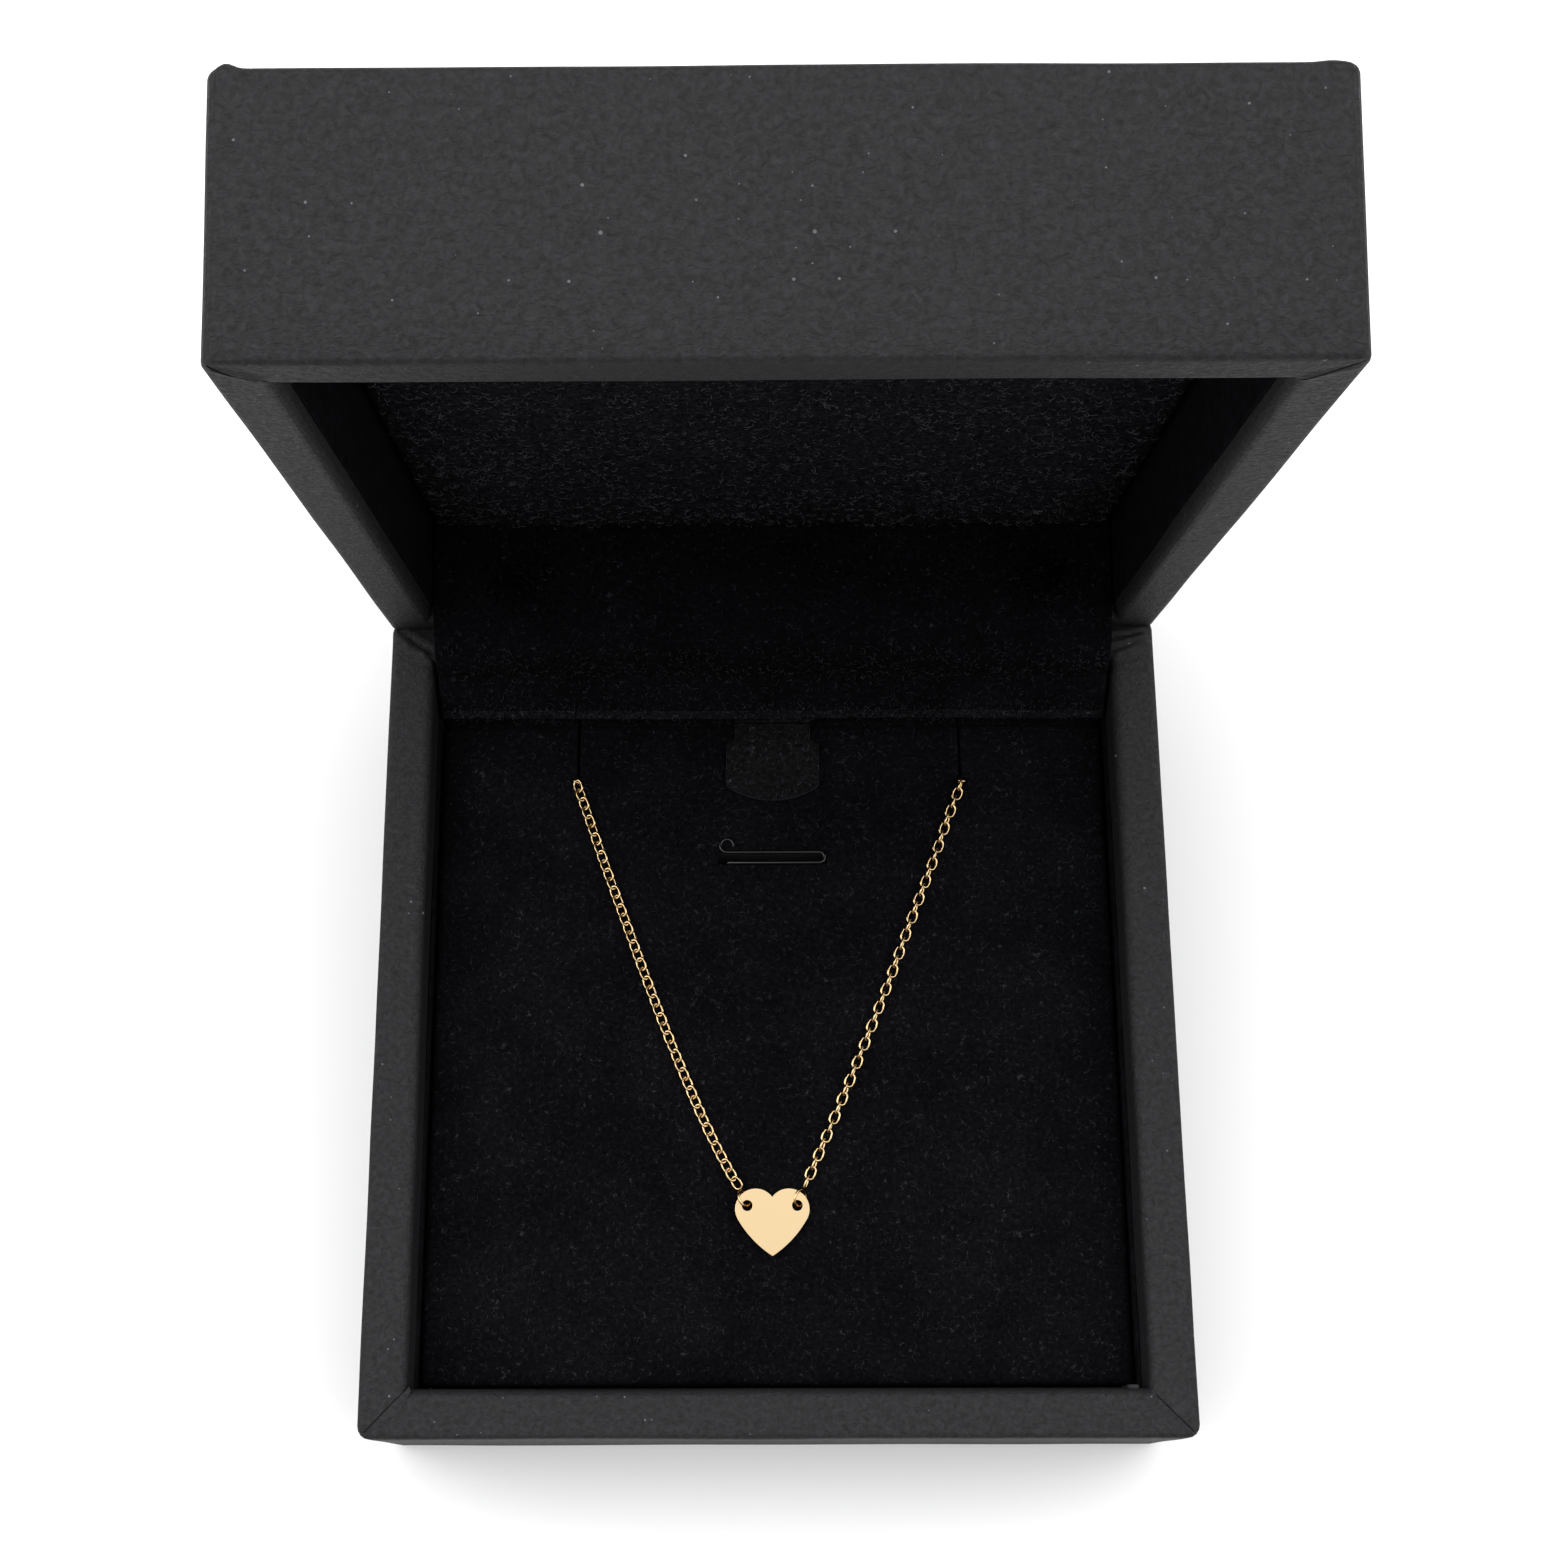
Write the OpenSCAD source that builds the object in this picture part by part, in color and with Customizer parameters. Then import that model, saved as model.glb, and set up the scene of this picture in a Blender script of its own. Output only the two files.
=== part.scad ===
// Presentation box for a necklace, shown with its lid open: two wooden trays wrapped in
// leatherette, joined by a snap hinge, with a lift-out pad that holds a fine chain and a heart.
// Millimetres. The origin is the middle of the underside, +X to the right, +Y to the hinge, +Z up.

/* [Box] */
// Outside width of the box, along the hinge
box_width = 90; // [84:1:110]
// Outside depth of the box, from front to back
box_depth = 94; // [90:1:115]
// Height of the base, from the table to its rim
base_height = 24; // [22:0.5:32]
// Height of the lid, from its rim to its top
lid_height = 24; // [22:0.5:32]
// Thickness of the wooden wall boards
wall_board_t = 4.2; // [3.6:0.1:5]
// Thickness of the floor board and of the lid's top board
panel_board_t = 2.5; // [1.5:0.1:3]
// Thickness of the leatherette wrap and of the bottom cover
wrap_t = 0.5; // [0.3:0.05:0.7]
// Radius of the upright outer corners
corner_r = 1.4; // [1:0.1:3]
// How far the bottom cover stays inside the outline
bottom_inset = 0.8; // [0.5:0.1:3]
// How far the wrap's lower edge stays above the table
wrap_lift = 0.3; // [0.1:0.05:0.4]
// Gap between the two rims when the lid is shut
rim_gap = 0.3; // [0.2:0.05:0.6]
// Thickness of the velvet paper that lines the inner walls
lining_t = 0.3; // [0.2:0.05:0.5]

/* [Hinge] */
// Angle between the rims with the lid fully open
open_angle = 80; // [70:1:90]
// Distance of the hinge axis from the back faces
hinge_inset = 1.2; // [1.15:0.05:1.6]
// Slack of the bevelled stop on each side, in degrees
stop_slack = 1; // [0.5:0.1:2]
// Length of the hinge barrel
hinge_length = 56; // [44:1:66]
// Number of knuckles in the barrel, an odd number
knuckle_count = 5; // [3:2:7]
// Gap between neighbouring knuckles
knuckle_gap = 0.3; // [0.2:0.05:0.5]
// Outer radius of the knuckles
barrel_r = 1.1; // [0.95:0.05:1.15]
// Radius of the hinge pin
pin_r = 0.5; // [0.4:0.05:0.6]
// Running clearance of the pin in the knuckles
pin_clearance = 0.05; // [0.02:0.01:0.08]
// Clearance round the barrel in the walls
barrel_clearance = 0.3; // [0.2:0.05:0.4]
// Thickness of the hinge leaves
leaf_t = 0.5; // [0.4:0.05:0.6]
// Height of a leaf on the back wall, below the rim
leaf_height = 10; // [8:0.5:11]
// Radius of a hinge nail's shank
nail_r = 0.5; // [0.4:0.05:0.7]
// Radius of a hinge nail's head
nail_head_r = 1.1; // [0.9:0.05:1.4]
// Thickness of a hinge nail's head
nail_head_t = 0.4; // [0.3:0.05:0.5]
// Depth that a hinge nail goes into the back board
nail_bite = 3; // [2:0.1:3.3]
// Distance between the outer two nails of a leaf
nail_span = 44; // [34:1:48]
// Distance of the nails below the rim
nail_drop = 6.5; // [6.3:0.1:7]
// Clearance of a nail in its holes
nail_clearance = 0.03; // [0.02:0.01:0.05]
// Thickness of the snap spring
spring_t = 0.4; // [0.3:0.05:0.5]
// Width of the snap spring, between the nails
spring_width = 14; // [10:1:16]
// Length of the spring's straight feet
spring_foot = 5; // [4:0.1:5]

/* [Hinge strip] */
// Thickness of the velvet-covered strip over the hinge
strip_t = 0.8; // [0.6:0.1:1]
// Clearance between the strip and the hinge parts behind it
strip_clearance = 0.3; // [0.2:0.05:0.5]
// Gap between each end of the strip and the wrapped walls
strip_end_gap = 0.5; // [0.4:0.05:1]
// How far the strip's lower edge stands forward
strip_lean = 4; // [2:0.1:5]
// Gap between the strip's lower edge and the pad
strip_foot_gap = 1.1; // [1:0.1:1.5]
// How far the strip reaches into the lid
strip_lid_reach = 14; // [12:0.5:16]

/* [Pad in the base] */
// Depth of the pad's face below the rim
pad_recess = 5.5; // [4.5:0.1:7]
// Gap between the pad and what surrounds it
pad_gap = 0.3; // [0.25:0.05:0.6]
// Thickness of the velvet cover
cover_t = 0.6; // [0.4:0.05:0.8]
// Thickness of the pad's foam
foam_t = 6.3; // [4:0.1:7]
// Thickness of the pad's card
card_t = 1.5; // [1:0.1:2]
// Thickness of the card strips that carry the pad
riser_t = 1.2; // [0.8:0.1:2]
// Gap between the riser strips and the lining
riser_gap = 0.1; // [0.05:0.05:0.3]
// Gap under the pad, where it sits on the risers
seat_gap = 0.1; // [0.05:0.05:0.15]

/* [Pull tab] */
// Width of the pull tab
tab_width = 11; // [9:0.5:16]
// Width of the tab's neck at its fold
tab_neck_width = 9; // [7:0.5:11]
// Length of the tab, from its fold to its end
tab_length = 9.7; // [8:0.1:11]
// Length of the tab's neck
tab_neck_length = 2; // [1:0.1:3]
// Radius of the tab's round end
tab_end_r = 9.3; // [8.2:0.1:12]
// Thickness of the tab's ribbon
tab_t = 0.7; // [0.5:0.1:0.8]
// Gap under the free part of the tab
tab_gap = 0.2; // [0.15:0.05:0.3]
// Length of the tab's glued end under the strip
tab_anchor_length = 4; // [2:0.1:4.5]

/* [Slits and keeper] */
// Distance between the two chain slits
slit_spacing = 45.4; // [36:0.2:50]
// Length of each slit, from the pad's back edge
slit_length = 11.9; // [9:0.1:14]
// Width of each slit
slit_width = 0.4; // [0.3:0.1:0.8]
// Radius of the hole at the end of each slit
slit_hole_r = 0.75; // [0.7:0.05:1]
// Length of the keeper's slot
slot_length = 13; // [11:0.5:16]
// Depth of the keeper's slot
slot_depth = 3; // [1.5:0.1:4]
// Distance from the pad's back edge to the middle of the slot
slot_from_back = 21.5; // [20:0.1:30]
// Radius of the keeper's wire
wire_r = 0.2; // [0.15:0.05:0.25]
// Distance between the keeper's two legs
leg_spacing = 1.28; // [1.1:0.02:1.8]
// Length of the keeper's legs
leg_length = 10.8; // [8:0.1:10.8]
// Radius of the keeper's eye
eye_r = 0.8; // [0.7:0.05:1]
// Depth of the keeper's prong in the foam
prong_depth = 4.5; // [4:0.1:5]
// Gap between the keeper's wire and the pad, its slot and its hole
wire_gap = 0.1; // [0.05:0.05:0.2]

/* [Necklace] */
// Sideways offset of the slits and the pendant from the middle
necklace_shift = -0.4; // [-1:0.1:1]
// Distance from the slits' ends to the pendant's holes, along the pad
necklace_drop = 50.4; // [44:0.1:54]
// Width of the heart pendant
heart_width = 8.3; // [7:0.1:9.1]
// Height of the heart pendant
heart_height = 7.5; // [6.5:0.1:8.2]
// Radius of the heart's two lobes
lobe_r = 2.3; // [2.1:0.05:2.4]
// Angle below the lobes' middles where the heart's sides leave the lobes
side_start = 30; // [25:1:32]
// Thickness of the heart pendant
heart_t = 0.6; // [0.5:0.05:0.8]
// Radius of the pendant's two holes
heart_hole_r = 0.6; // [0.55:0.05:0.7]
// Distance between the pendant's two holes
heart_hole_spacing = 5.6; // [5:0.1:6]
// Distance of the holes below the top of the lobes
heart_hole_drop = 1.9; // [1.8:0.05:2.1]
// Radius of the rings in the pendant's holes, to the wire's middle
ring_r = 0.9; // [0.85:0.05:1]
// Radius of the rings' wire
ring_wire_r = 0.15; // [0.12:0.01:0.18]
// Tilt of the rings from upright
ring_tilt = 40; // [30:1:45]
// Gap between the rings and the pad
ring_gap = 0.1; // [0.05:0.05:0.2]
// Diameter of the chain, over its links
chain_d = 1.1; // [0.9:0.05:1.3]
// Gap between the chain and what it lies on
chain_gap = 0.1; // [0.05:0.05:0.2]
// Gap between each ring and its strand, which lets the pendant swing up
swing_gap = 0.35; // [0.35:0.05:0.5]
// How far the left strand bows outwards
left_bow = 0.9; // [0:0.1:1.5]
// How far the right strand bows outwards
right_bow = 0.65; // [0:0.05:1.5]
// Distance from the pad's back edge to the clasp under the pad
clasp_from_back = 27; // [24:0.5:32]
// Radius of the spring-ring clasp, to the tube's middle
clasp_r = 2.2; // [2:0.1:2.6]
// Outer radius of the clasp's tube
clasp_tube_r = 0.6; // [0.55:0.05:0.7]
// Wall of the clasp's tube
clasp_wall = 0.15; // [0.12:0.01:0.18]
// Clearance of the trigger in the tube
trigger_clearance = 0.08; // [0.05:0.01:0.1]
// Radius of the ring at the chain's far end, to the wire's middle
end_ring_r = 1; // [0.95:0.05:1.2]
// Radius of the end ring's wire
end_ring_wire_r = 0.2; // [0.15:0.01:0.22]
// Radius of the clasp's own eye, to the wire's middle
clasp_eye_r = 0.6; // [0.5:0.05:0.7]
// Opening of the clasp's mouth, in degrees
mouth_angle = 50; // [40:1:60]
// Travel of the clasp's trigger, in degrees
trigger_travel = 65; // [55:1:80]

/* [Lid pad] */
// Depth of the lid pad's face below the lid's rim
lid_pad_recess = 10.2; // [9.5:0.1:12]
// Thickness of the lid pad's card
lid_card_t = 1.2; // [0.8:0.1:2]
// Thickness of the lid pad's fleece cover
fleece_t = 0.8; // [0.5:0.1:1.2]

/* [Hidden] */

$fn = 64;
over = 1;

// walls, in a tray's own frame: its outside is at z = 0 and its rim at z = height
floor_top = wrap_t + panel_board_t;
wall_t = wrap_t + wall_board_t + wrap_t;
inner_x = box_width / 2 - wall_t;
inner_y = box_depth / 2 - wall_t;
board_x = box_width / 2 - wrap_t;
board_y = box_depth / 2 - wrap_t;

// hinge
hinge_y = box_depth / 2 - hinge_inset;
hinge_z = base_height + rim_gap / 2;
bevel_angle = open_angle / 2 + stop_slack;
knuckle_pitch = hinge_length / knuckle_count;
leaf_face_r = hinge_y - inner_y + leaf_t;
behind_strip = max(nail_head_t, spring_t);
strip_in_r = leaf_face_r + behind_strip + strip_clearance;
strip_out_r = strip_in_r + strip_t;

// pad in the base
pad_top = base_height - pad_recess;
pad_bottom = pad_top - cover_t - foam_t - card_t;
pad_x = inner_x - lining_t - pad_gap;
pad_front = -(inner_y - lining_t - pad_gap);
pad_back = inner_y - leaf_t - nail_head_t - pad_gap;
strip_foot_z = pad_top + strip_foot_gap;
strip_foot_y = hinge_y - strip_out_r - strip_lean;
tab_fold_y = strip_foot_y - tab_gap;

// slits, keeper and necklace
slit_y = pad_back - slit_length;
left_slit_x = necklace_shift - slit_spacing / 2;
right_slit_x = necklace_shift + slit_spacing / 2;
slot_y = pad_back - slot_from_back;
slot_width = leg_spacing + 2 * (wire_r + wire_gap);
hole_y = slit_y - necklace_drop;
heart_top_y = hole_y + heart_hole_drop;
left_hole_x = necklace_shift - heart_hole_spacing / 2;
right_hole_x = necklace_shift + heart_hole_spacing / 2;
ring_rise = (ring_r + ring_wire_r) * cos(ring_tilt);
heart_z = pad_top + ring_rise + ring_gap;
pendant_axis_y = hole_y + 2 * ring_r * cos(strand_angle(left_slit_x, left_hole_x));
chain_z = pad_top + chain_gap + chain_d / 2;

// clasp
clasp_y = pad_back - clasp_from_back;
clasp_z = floor_top + chain_gap + end_ring_r + end_ring_wire_r;
tail_z = floor_top + 2 * chain_gap + chain_d / 2;
trigger_r = clasp_tube_r - clasp_wall - trigger_clearance;
trigger_overlap = 15;
clasp_eye_x = clasp_r + clasp_tube_r + clasp_eye_r;
end_ring_x = clasp_r + end_ring_r - end_ring_wire_r - trigger_r - chain_gap;
left_end_x = -(clasp_eye_x + clasp_eye_r + end_ring_wire_r + chain_gap);
right_end_x = end_ring_x + end_ring_r + end_ring_wire_r + chain_gap;

// angle of a strand of chain away from the Y axis, from its slit to its hole
function strand_angle(slit_x, hole_x) = atan2(abs(slit_x - hole_x), necklace_drop);

// the hidden part of the left strand, from the slit down and round on the floor to the clasp
left_tail = [
    [-25, 20, 0], [-28, 10, 0], [-29, 0, 0], [-28, -10, 0], [-25, -19, 0], [-20, -26, 0],
    [-14, -30, 0], [-8, -29, 0], [-5, -24, 0], [-6, -18, 0], [-10, -12, 0], [-15, -6, 0],
    [-18, 0, 0], [-17, 6, 0], [-13, 10, 0], [-9, 13, 0]
];
// the hidden part of the right strand
right_tail = [
    [25, 20, 0], [28, 10, 0], [29, 0, 0], [28, -10, 0], [25, -19, 0], [20, -26, 0],
    [14, -30, 0], [8, -29, 0], [5, -24, 0], [6, -18, 0], [10, -12, 0], [15, -6, 0],
    [18, 0, 0], [17, 6, 0], [13, 10, 0], [9, 13, 0]
];

// ---- shared shapes ----

// a block with round upright corners, centred, standing on z = 0
module rounded_block(width, depth, height, radius) {
    linear_extrude(height) {
        square([width - 2 * radius, depth], center = true);
        square([width, depth - 2 * radius], center = true);
        for (x = [-1, 1], y = [-1, 1]) {
            translate([x * (width / 2 - radius), y * (depth / 2 - radius)]) circle(radius);
        }
    }
}

// a block that runs the given distance inside the box's outline
module inset_block(inset, height) {
    rounded_block(
        box_width - 2 * inset,
        box_depth - 2 * inset,
        height,
        max(corner_r - inset, 0.2)
    );
}

// a profile in the Y-Z plane, drawn round the hinge axis, made as wide as given along X
module across(width) {
    translate([-width / 2, hinge_y, hinge_z]) rotate([90, 0, 90]) linear_extrude(width) children();
}

// a strip bent round the hinge axis: from its foot in the base, round the arc, into the open lid
module bent_strip(inner_r, outer_r, foot_in, foot_out, reach) {
    steps = 16;
    turn = 180 - open_angle;
    along = reach * [sin(open_angle), cos(open_angle)];
    bend = [for (i = [0 : steps]) 180 - i * open_angle / steps];
    polygon(concat(
        [foot_out],
        [for (a = bend) outer_r * [cos(a), sin(a)]],
        [outer_r * [cos(turn), sin(turn)] + along, inner_r * [cos(turn), sin(turn)] + along],
        [for (i = [steps : -1 : 0]) inner_r * [cos(bend[i]), sin(bend[i])]],
        [foot_in]
    ));
}

// puts a tray that stands on z = 0 in the lid's place, open
module lid_place() {
    translate([0, hinge_y, hinge_z]) rotate([-open_angle, 0, 0]) translate([0, -hinge_y, 0])
        translate([0, 0, rim_gap / 2 + lid_height]) mirror([0, 0, 1]) children();
}

// what the hinge takes out of a tray of the given height: the bevel, the barrel and the leaf
module hinge_cut(height) {
    axis_z = height + rim_gap / 2;
    translate([0, hinge_y, axis_z]) {
        rotate([90, 0, 90]) translate([0, 0, -box_width])
            linear_extrude(2 * box_width)
                polygon([
                    [0, 0],
                    [3 * hinge_inset, -3 * hinge_inset * tan(bevel_angle)],
                    [3 * hinge_inset, 3 * hinge_inset],
                    [0, 3 * hinge_inset]
                ]);
        rotate([0, 90, 0])
            cylinder(h = hinge_length + 2 * knuckle_gap, r = barrel_r + barrel_clearance, center = true);
        translate([-hinge_length / 2 - knuckle_gap, -wall_t - over, -barrel_r])
            cube([hinge_length + 2 * knuckle_gap, wall_t + over, barrel_r + over]);
    }
}

// the holes of the hinge nails, through the back wall of a tray
module nail_holes(height) {
    nail_places(height) rotate([-90, 0, 0])
        cylinder(h = leaf_t + wrap_t + nail_bite, r = nail_r + nail_clearance);
}

// puts a nail's shape at each place on the face of a leaf
module nail_places(height) {
    for (i = [-1 : 1]) {
        translate([i * nail_span / 2, inner_y - leaf_t, height - nail_drop]) children();
    }
}

// ---- the parts of a tray, used for the base and for the lid ----

// a tray's flat board
module tray_panel() {
    translate([0, 0, wrap_t]) inset_block(wrap_t, panel_board_t);
}

// the solid from which the front and back boards are cut
module tray_wall_blank(height) {
    translate([0, 0, floor_top]) inset_block(wrap_t, height - wrap_t - floor_top);
}

// a tray's front board
module tray_front(height) {
    intersection() {
        tray_wall_blank(height);
        translate([-box_width, -board_y - over, 0])
            cube([2 * box_width, wall_board_t + over, height]);
    }
}

// a tray's back board, with the room for the hinge
module tray_back(height) {
    difference() {
        intersection() {
            tray_wall_blank(height);
            translate([-box_width, board_y - wall_board_t, 0])
                cube([2 * box_width, wall_board_t + over, height]);
        }
        hinge_cut(height);
        nail_holes(height);
    }
}

// a tray's side board, between the front and back boards; side is -1 or 1
module tray_side(height, side) {
    translate([side > 0 ? board_x - wall_board_t : -board_x, -board_y + wall_board_t, floor_top])
        cube([wall_board_t, 2 * (board_y - wall_board_t), height - wrap_t - floor_top]);
}

// a tray's wrap: the outer skin, the band over the rim, the turn-in, and a sheet if closed
module tray_wrap(height, lift, closed) {
    difference() {
        union() {
            difference() {
                translate([0, 0, lift]) inset_block(0, height - lift);
                translate([0, 0, lift - over]) inset_block(wrap_t, height - wrap_t - lift + over);
                translate([0, 0, floor_top]) linear_extrude(height)
                    square([2 * inner_x, 2 * inner_y], center = true);
            }
            difference() {
                translate([0, 0, floor_top]) linear_extrude(height - floor_top)
                    square([2 * (inner_x + wrap_t), 2 * (inner_y + wrap_t)], center = true);
                linear_extrude(height + over) square([2 * inner_x, 2 * inner_y], center = true);
            }
            if (closed) {
                inset_block(0, wrap_t);
            }
        }
        hinge_cut(height);
        nail_holes(height);
    }
}

// a tray's lining: four strips on the inner walls, low on the hinge side and below the rim
module tray_lining(height, reach) {
    top = height - reach;
    back_top = height - leaf_height - over;
    for (side = [-1, 1]) {
        translate([side * (inner_x - lining_t / 2), 0, (floor_top + top) / 2])
            cube([lining_t, 2 * inner_y, top - floor_top], center = true);
    }
    translate([-inner_x + lining_t, -inner_y, floor_top])
        cube([2 * (inner_x - lining_t), lining_t, top - floor_top]);
    translate([-inner_x + lining_t, inner_y - lining_t, floor_top])
        cube([2 * (inner_x - lining_t), lining_t, back_top - floor_top]);
}

// a hinge leaf in a tray's frame, with every second knuckle from the first given
module tray_leaf(height, first) {
    axis_z = height + rim_gap / 2;
    difference() {
        union() {
            translate([-hinge_length / 2, inner_y - leaf_t, height - leaf_height])
                cube([hinge_length, leaf_t, axis_z - barrel_r + leaf_t - height + leaf_height]);
            translate([-hinge_length / 2, inner_y - leaf_t, axis_z - barrel_r])
                cube([hinge_length, leaf_face_r, leaf_t]);
            for (i = [first : 2 : knuckle_count - 1]) {
                knuckle(axis_z, i, barrel_r, 0);
            }
        }
        for (i = [1 - first : 2 : knuckle_count - 1]) {
            knuckle(axis_z, i, barrel_r + barrel_clearance, knuckle_gap);
        }
        translate([0, hinge_y, axis_z]) rotate([0, 90, 0])
            cylinder(h = hinge_length + over, r = pin_r + pin_clearance, center = true);
        nail_holes(height);
    }
}

// one knuckle's cylinder, longer at both ends by what is given
module knuckle(axis_z, index, radius, longer) {
    start = -hinge_length / 2 + index * knuckle_pitch + (index > 0 ? knuckle_gap / 2 : 0);
    finish = -hinge_length / 2 + (index + 1) * knuckle_pitch
        - (index < knuckle_count - 1 ? knuckle_gap / 2 : 0);
    translate([start - longer, hinge_y, axis_z]) rotate([0, 90, 0])
        cylinder(h = finish - start + 2 * longer, r = radius);
}

// the hinge nails of a tray
module tray_nails(height) {
    nail_places(height) rotate([-90, 0, 0]) {
        cylinder(h = leaf_t + wrap_t + nail_bite - nail_clearance, r = nail_r);
        translate([0, 0, -nail_head_t]) cylinder(h = nail_head_t, r = nail_head_r);
    }
}

// ---- the base ----

module floor_board() {
    color("tan") tray_panel();
}

module base_front_board() {
    color("burlywood") tray_front(base_height);
}

module base_back_board() {
    color("burlywood") tray_back(base_height);
}

module base_left_board() {
    color("burlywood") tray_side(base_height, -1);
}

module base_right_board() {
    color("burlywood") tray_side(base_height, 1);
}

module base_wrap() {
    color([0.16, 0.16, 0.17]) tray_wrap(base_height, wrap_lift, false);
}

module base_bottom_cover() {
    color([0.1, 0.1, 0.1]) inset_block(bottom_inset, wrap_t);
}

module base_lining() {
    color([0.05, 0.05, 0.06]) tray_lining(base_height, pad_recess - over);
}

// four card strips on the floor that carry the pad
module pad_riser() {
    rise = pad_bottom - seat_gap - floor_top;
    side_x = inner_x - lining_t - riser_gap - riser_t;
    front_y = -inner_y + lining_t + riser_gap + riser_t;
    back_y = pad_back - riser_t;
    color("dimgray") {
        for (side = [-1, 1]) {
            translate([side > 0 ? side_x : -side_x - riser_t, front_y + riser_gap, floor_top])
                cube([riser_t, back_y - front_y - 2 * riser_gap, rise]);
        }
        for (y = [front_y - riser_t, back_y]) {
            translate([-side_x - riser_t, y, floor_top])
                cube([2 * (side_x + riser_t), riser_t, rise]);
        }
    }
}

module hinge_leaf_base() {
    color("goldenrod") tray_leaf(base_height, 0);
}

module hinge_pin() {
    color("silver") translate([0, hinge_y, hinge_z]) rotate([0, 90, 0])
        cylinder(h = hinge_length, r = pin_r, center = true);
}

module hinge_nails_base() {
    color("silver") tray_nails(base_height);
}

// the bowed spring that holds the lid shut or open, on the faces of both leaves
module snap_spring() {
    outer_r = leaf_face_r + spring_t;
    color("gainsboro") across(spring_width)
        bent_strip(
            leaf_face_r,
            outer_r,
            [-leaf_face_r, -spring_foot],
            [-outer_r, -spring_foot],
            spring_foot
        );
}

// the velvet-covered strip that hides the hinge, bent round it from the pad into the lid
module hinge_strip() {
    drop = hinge_z - strip_foot_z;
    color([0.06, 0.06, 0.07]) across(2 * (inner_x - strip_end_gap))
        bent_strip(
            strip_in_r,
            strip_out_r,
            [-strip_in_r - strip_lean, -drop],
            [-strip_out_r - strip_lean, -drop],
            strip_lid_reach
        );
}

// ---- the lid ----

module lid_top_board() {
    color("tan") lid_place() tray_panel();
}

module lid_front_board() {
    color("burlywood") lid_place() tray_front(lid_height);
}

module lid_back_board() {
    color("burlywood") lid_place() tray_back(lid_height);
}

module lid_left_board() {
    color("burlywood") lid_place() tray_side(lid_height, -1);
}

module lid_right_board() {
    color("burlywood") lid_place() tray_side(lid_height, 1);
}

module lid_wrap() {
    color([0.16, 0.16, 0.17]) lid_place() tray_wrap(lid_height, 0, true);
}

module lid_lining() {
    color([0.05, 0.05, 0.06]) lid_place() tray_lining(lid_height, pad_recess);
}

module hinge_leaf_lid() {
    color("goldenrod") lid_place() tray_leaf(lid_height, 1);
}

module hinge_nails_lid() {
    color("silver") lid_place() tray_nails(lid_height);
}

// a block of the lid pad's outline, smaller all round by the given inset
module lid_pad_block(inset, bottom, top) {
    back = hinge_y - strip_out_r - pad_gap;
    lid_place() translate([-pad_x + inset, pad_front + inset, bottom])
        cube([2 * (pad_x - inset), back - pad_front - 2 * inset, top - bottom]);
}

module lid_pad_card() {
    color("dimgray") lid_pad_block(fleece_t, floor_top, floor_top + lid_card_t);
}

module lid_pad_foam() {
    color("gray")
        lid_pad_block(fleece_t, floor_top + lid_card_t, lid_height - lid_pad_recess - fleece_t);
}

// the fleece cover, over the foam and down its sides
module lid_pad_cover() {
    color([0.1, 0.1, 0.11]) difference() {
        lid_pad_block(0, floor_top, lid_height - lid_pad_recess);
        lid_pad_block(fleece_t, floor_top - over, lid_height - lid_pad_recess - fleece_t);
    }
}

// ---- the lift-out pad ----

// a block of the pad's outline, smaller all round by the given inset
module pad_block(inset, bottom, top) {
    translate([-pad_x + inset, pad_front + inset, bottom])
        cube([2 * (pad_x - inset), pad_back - pad_front - 2 * inset, top - bottom]);
}

// the two slits, from the pad's back edge to the holes at their ends
module slits() {
    for (x = [left_slit_x, right_slit_x]) {
        translate([x, slit_y, pad_bottom - over])
            cylinder(h = pad_top - pad_bottom + 2 * over, r = slit_hole_r);
        translate([x - slit_width / 2, slit_y, pad_bottom - over])
            cube([slit_width, slit_length + over, pad_top - pad_bottom + 2 * over]);
    }
}

// the keeper's slot and the hole of its prong
module keeper_slot() {
    straight = slot_length - slot_width;
    translate([0, slot_y, pad_top - slot_depth]) linear_extrude(slot_depth + over) {
        square([straight, slot_width], center = true);
        for (side = [-1, 1]) {
            translate([side * straight / 2, 0]) circle(slot_width / 2);
        }
    }
    translate([-leg_length / 2, slot_y - leg_spacing / 2, pad_top - prong_depth - wire_gap])
        cylinder(h = prong_depth + over, r = wire_r + wire_gap);
}

module pad_card() {
    color("dimgray") difference() {
        pad_block(cover_t, pad_bottom, pad_bottom + card_t);
        slits();
    }
}

module pad_foam() {
    color("gray") difference() {
        pad_block(cover_t, pad_bottom + card_t, pad_top - cover_t);
        slits();
        keeper_slot();
    }
}

// the velvet cover, over the foam and down its sides
module pad_cover() {
    color([0.07, 0.07, 0.08]) difference() {
        pad_block(0, pad_bottom, pad_top);
        pad_block(cover_t, pad_bottom - over, pad_top - cover_t);
        slits();
        keeper_slot();
    }
}

// the glued end of the tab's ribbon, under the hinge strip
module tab_anchor() {
    color([0.12, 0.12, 0.13]) translate([-tab_neck_width / 2, tab_fold_y + tab_gap, pad_top])
        cube([tab_neck_width, tab_anchor_length, tab_t]);
}

// the free part of the tab, from its fold to its round end
module pull_tab() {
    color([0.12, 0.12, 0.13]) translate([0, tab_fold_y, pad_top + tab_gap]) linear_extrude(tab_t) {
        translate([-tab_neck_width / 2, -tab_length / 2])
            square([tab_neck_width, tab_length / 2]);
        intersection() {
            translate([-tab_width / 2, -tab_length])
                square([tab_width, tab_length - tab_neck_length]);
            translate([0, tab_end_r - tab_length]) circle(tab_end_r);
        }
    }
}

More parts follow.
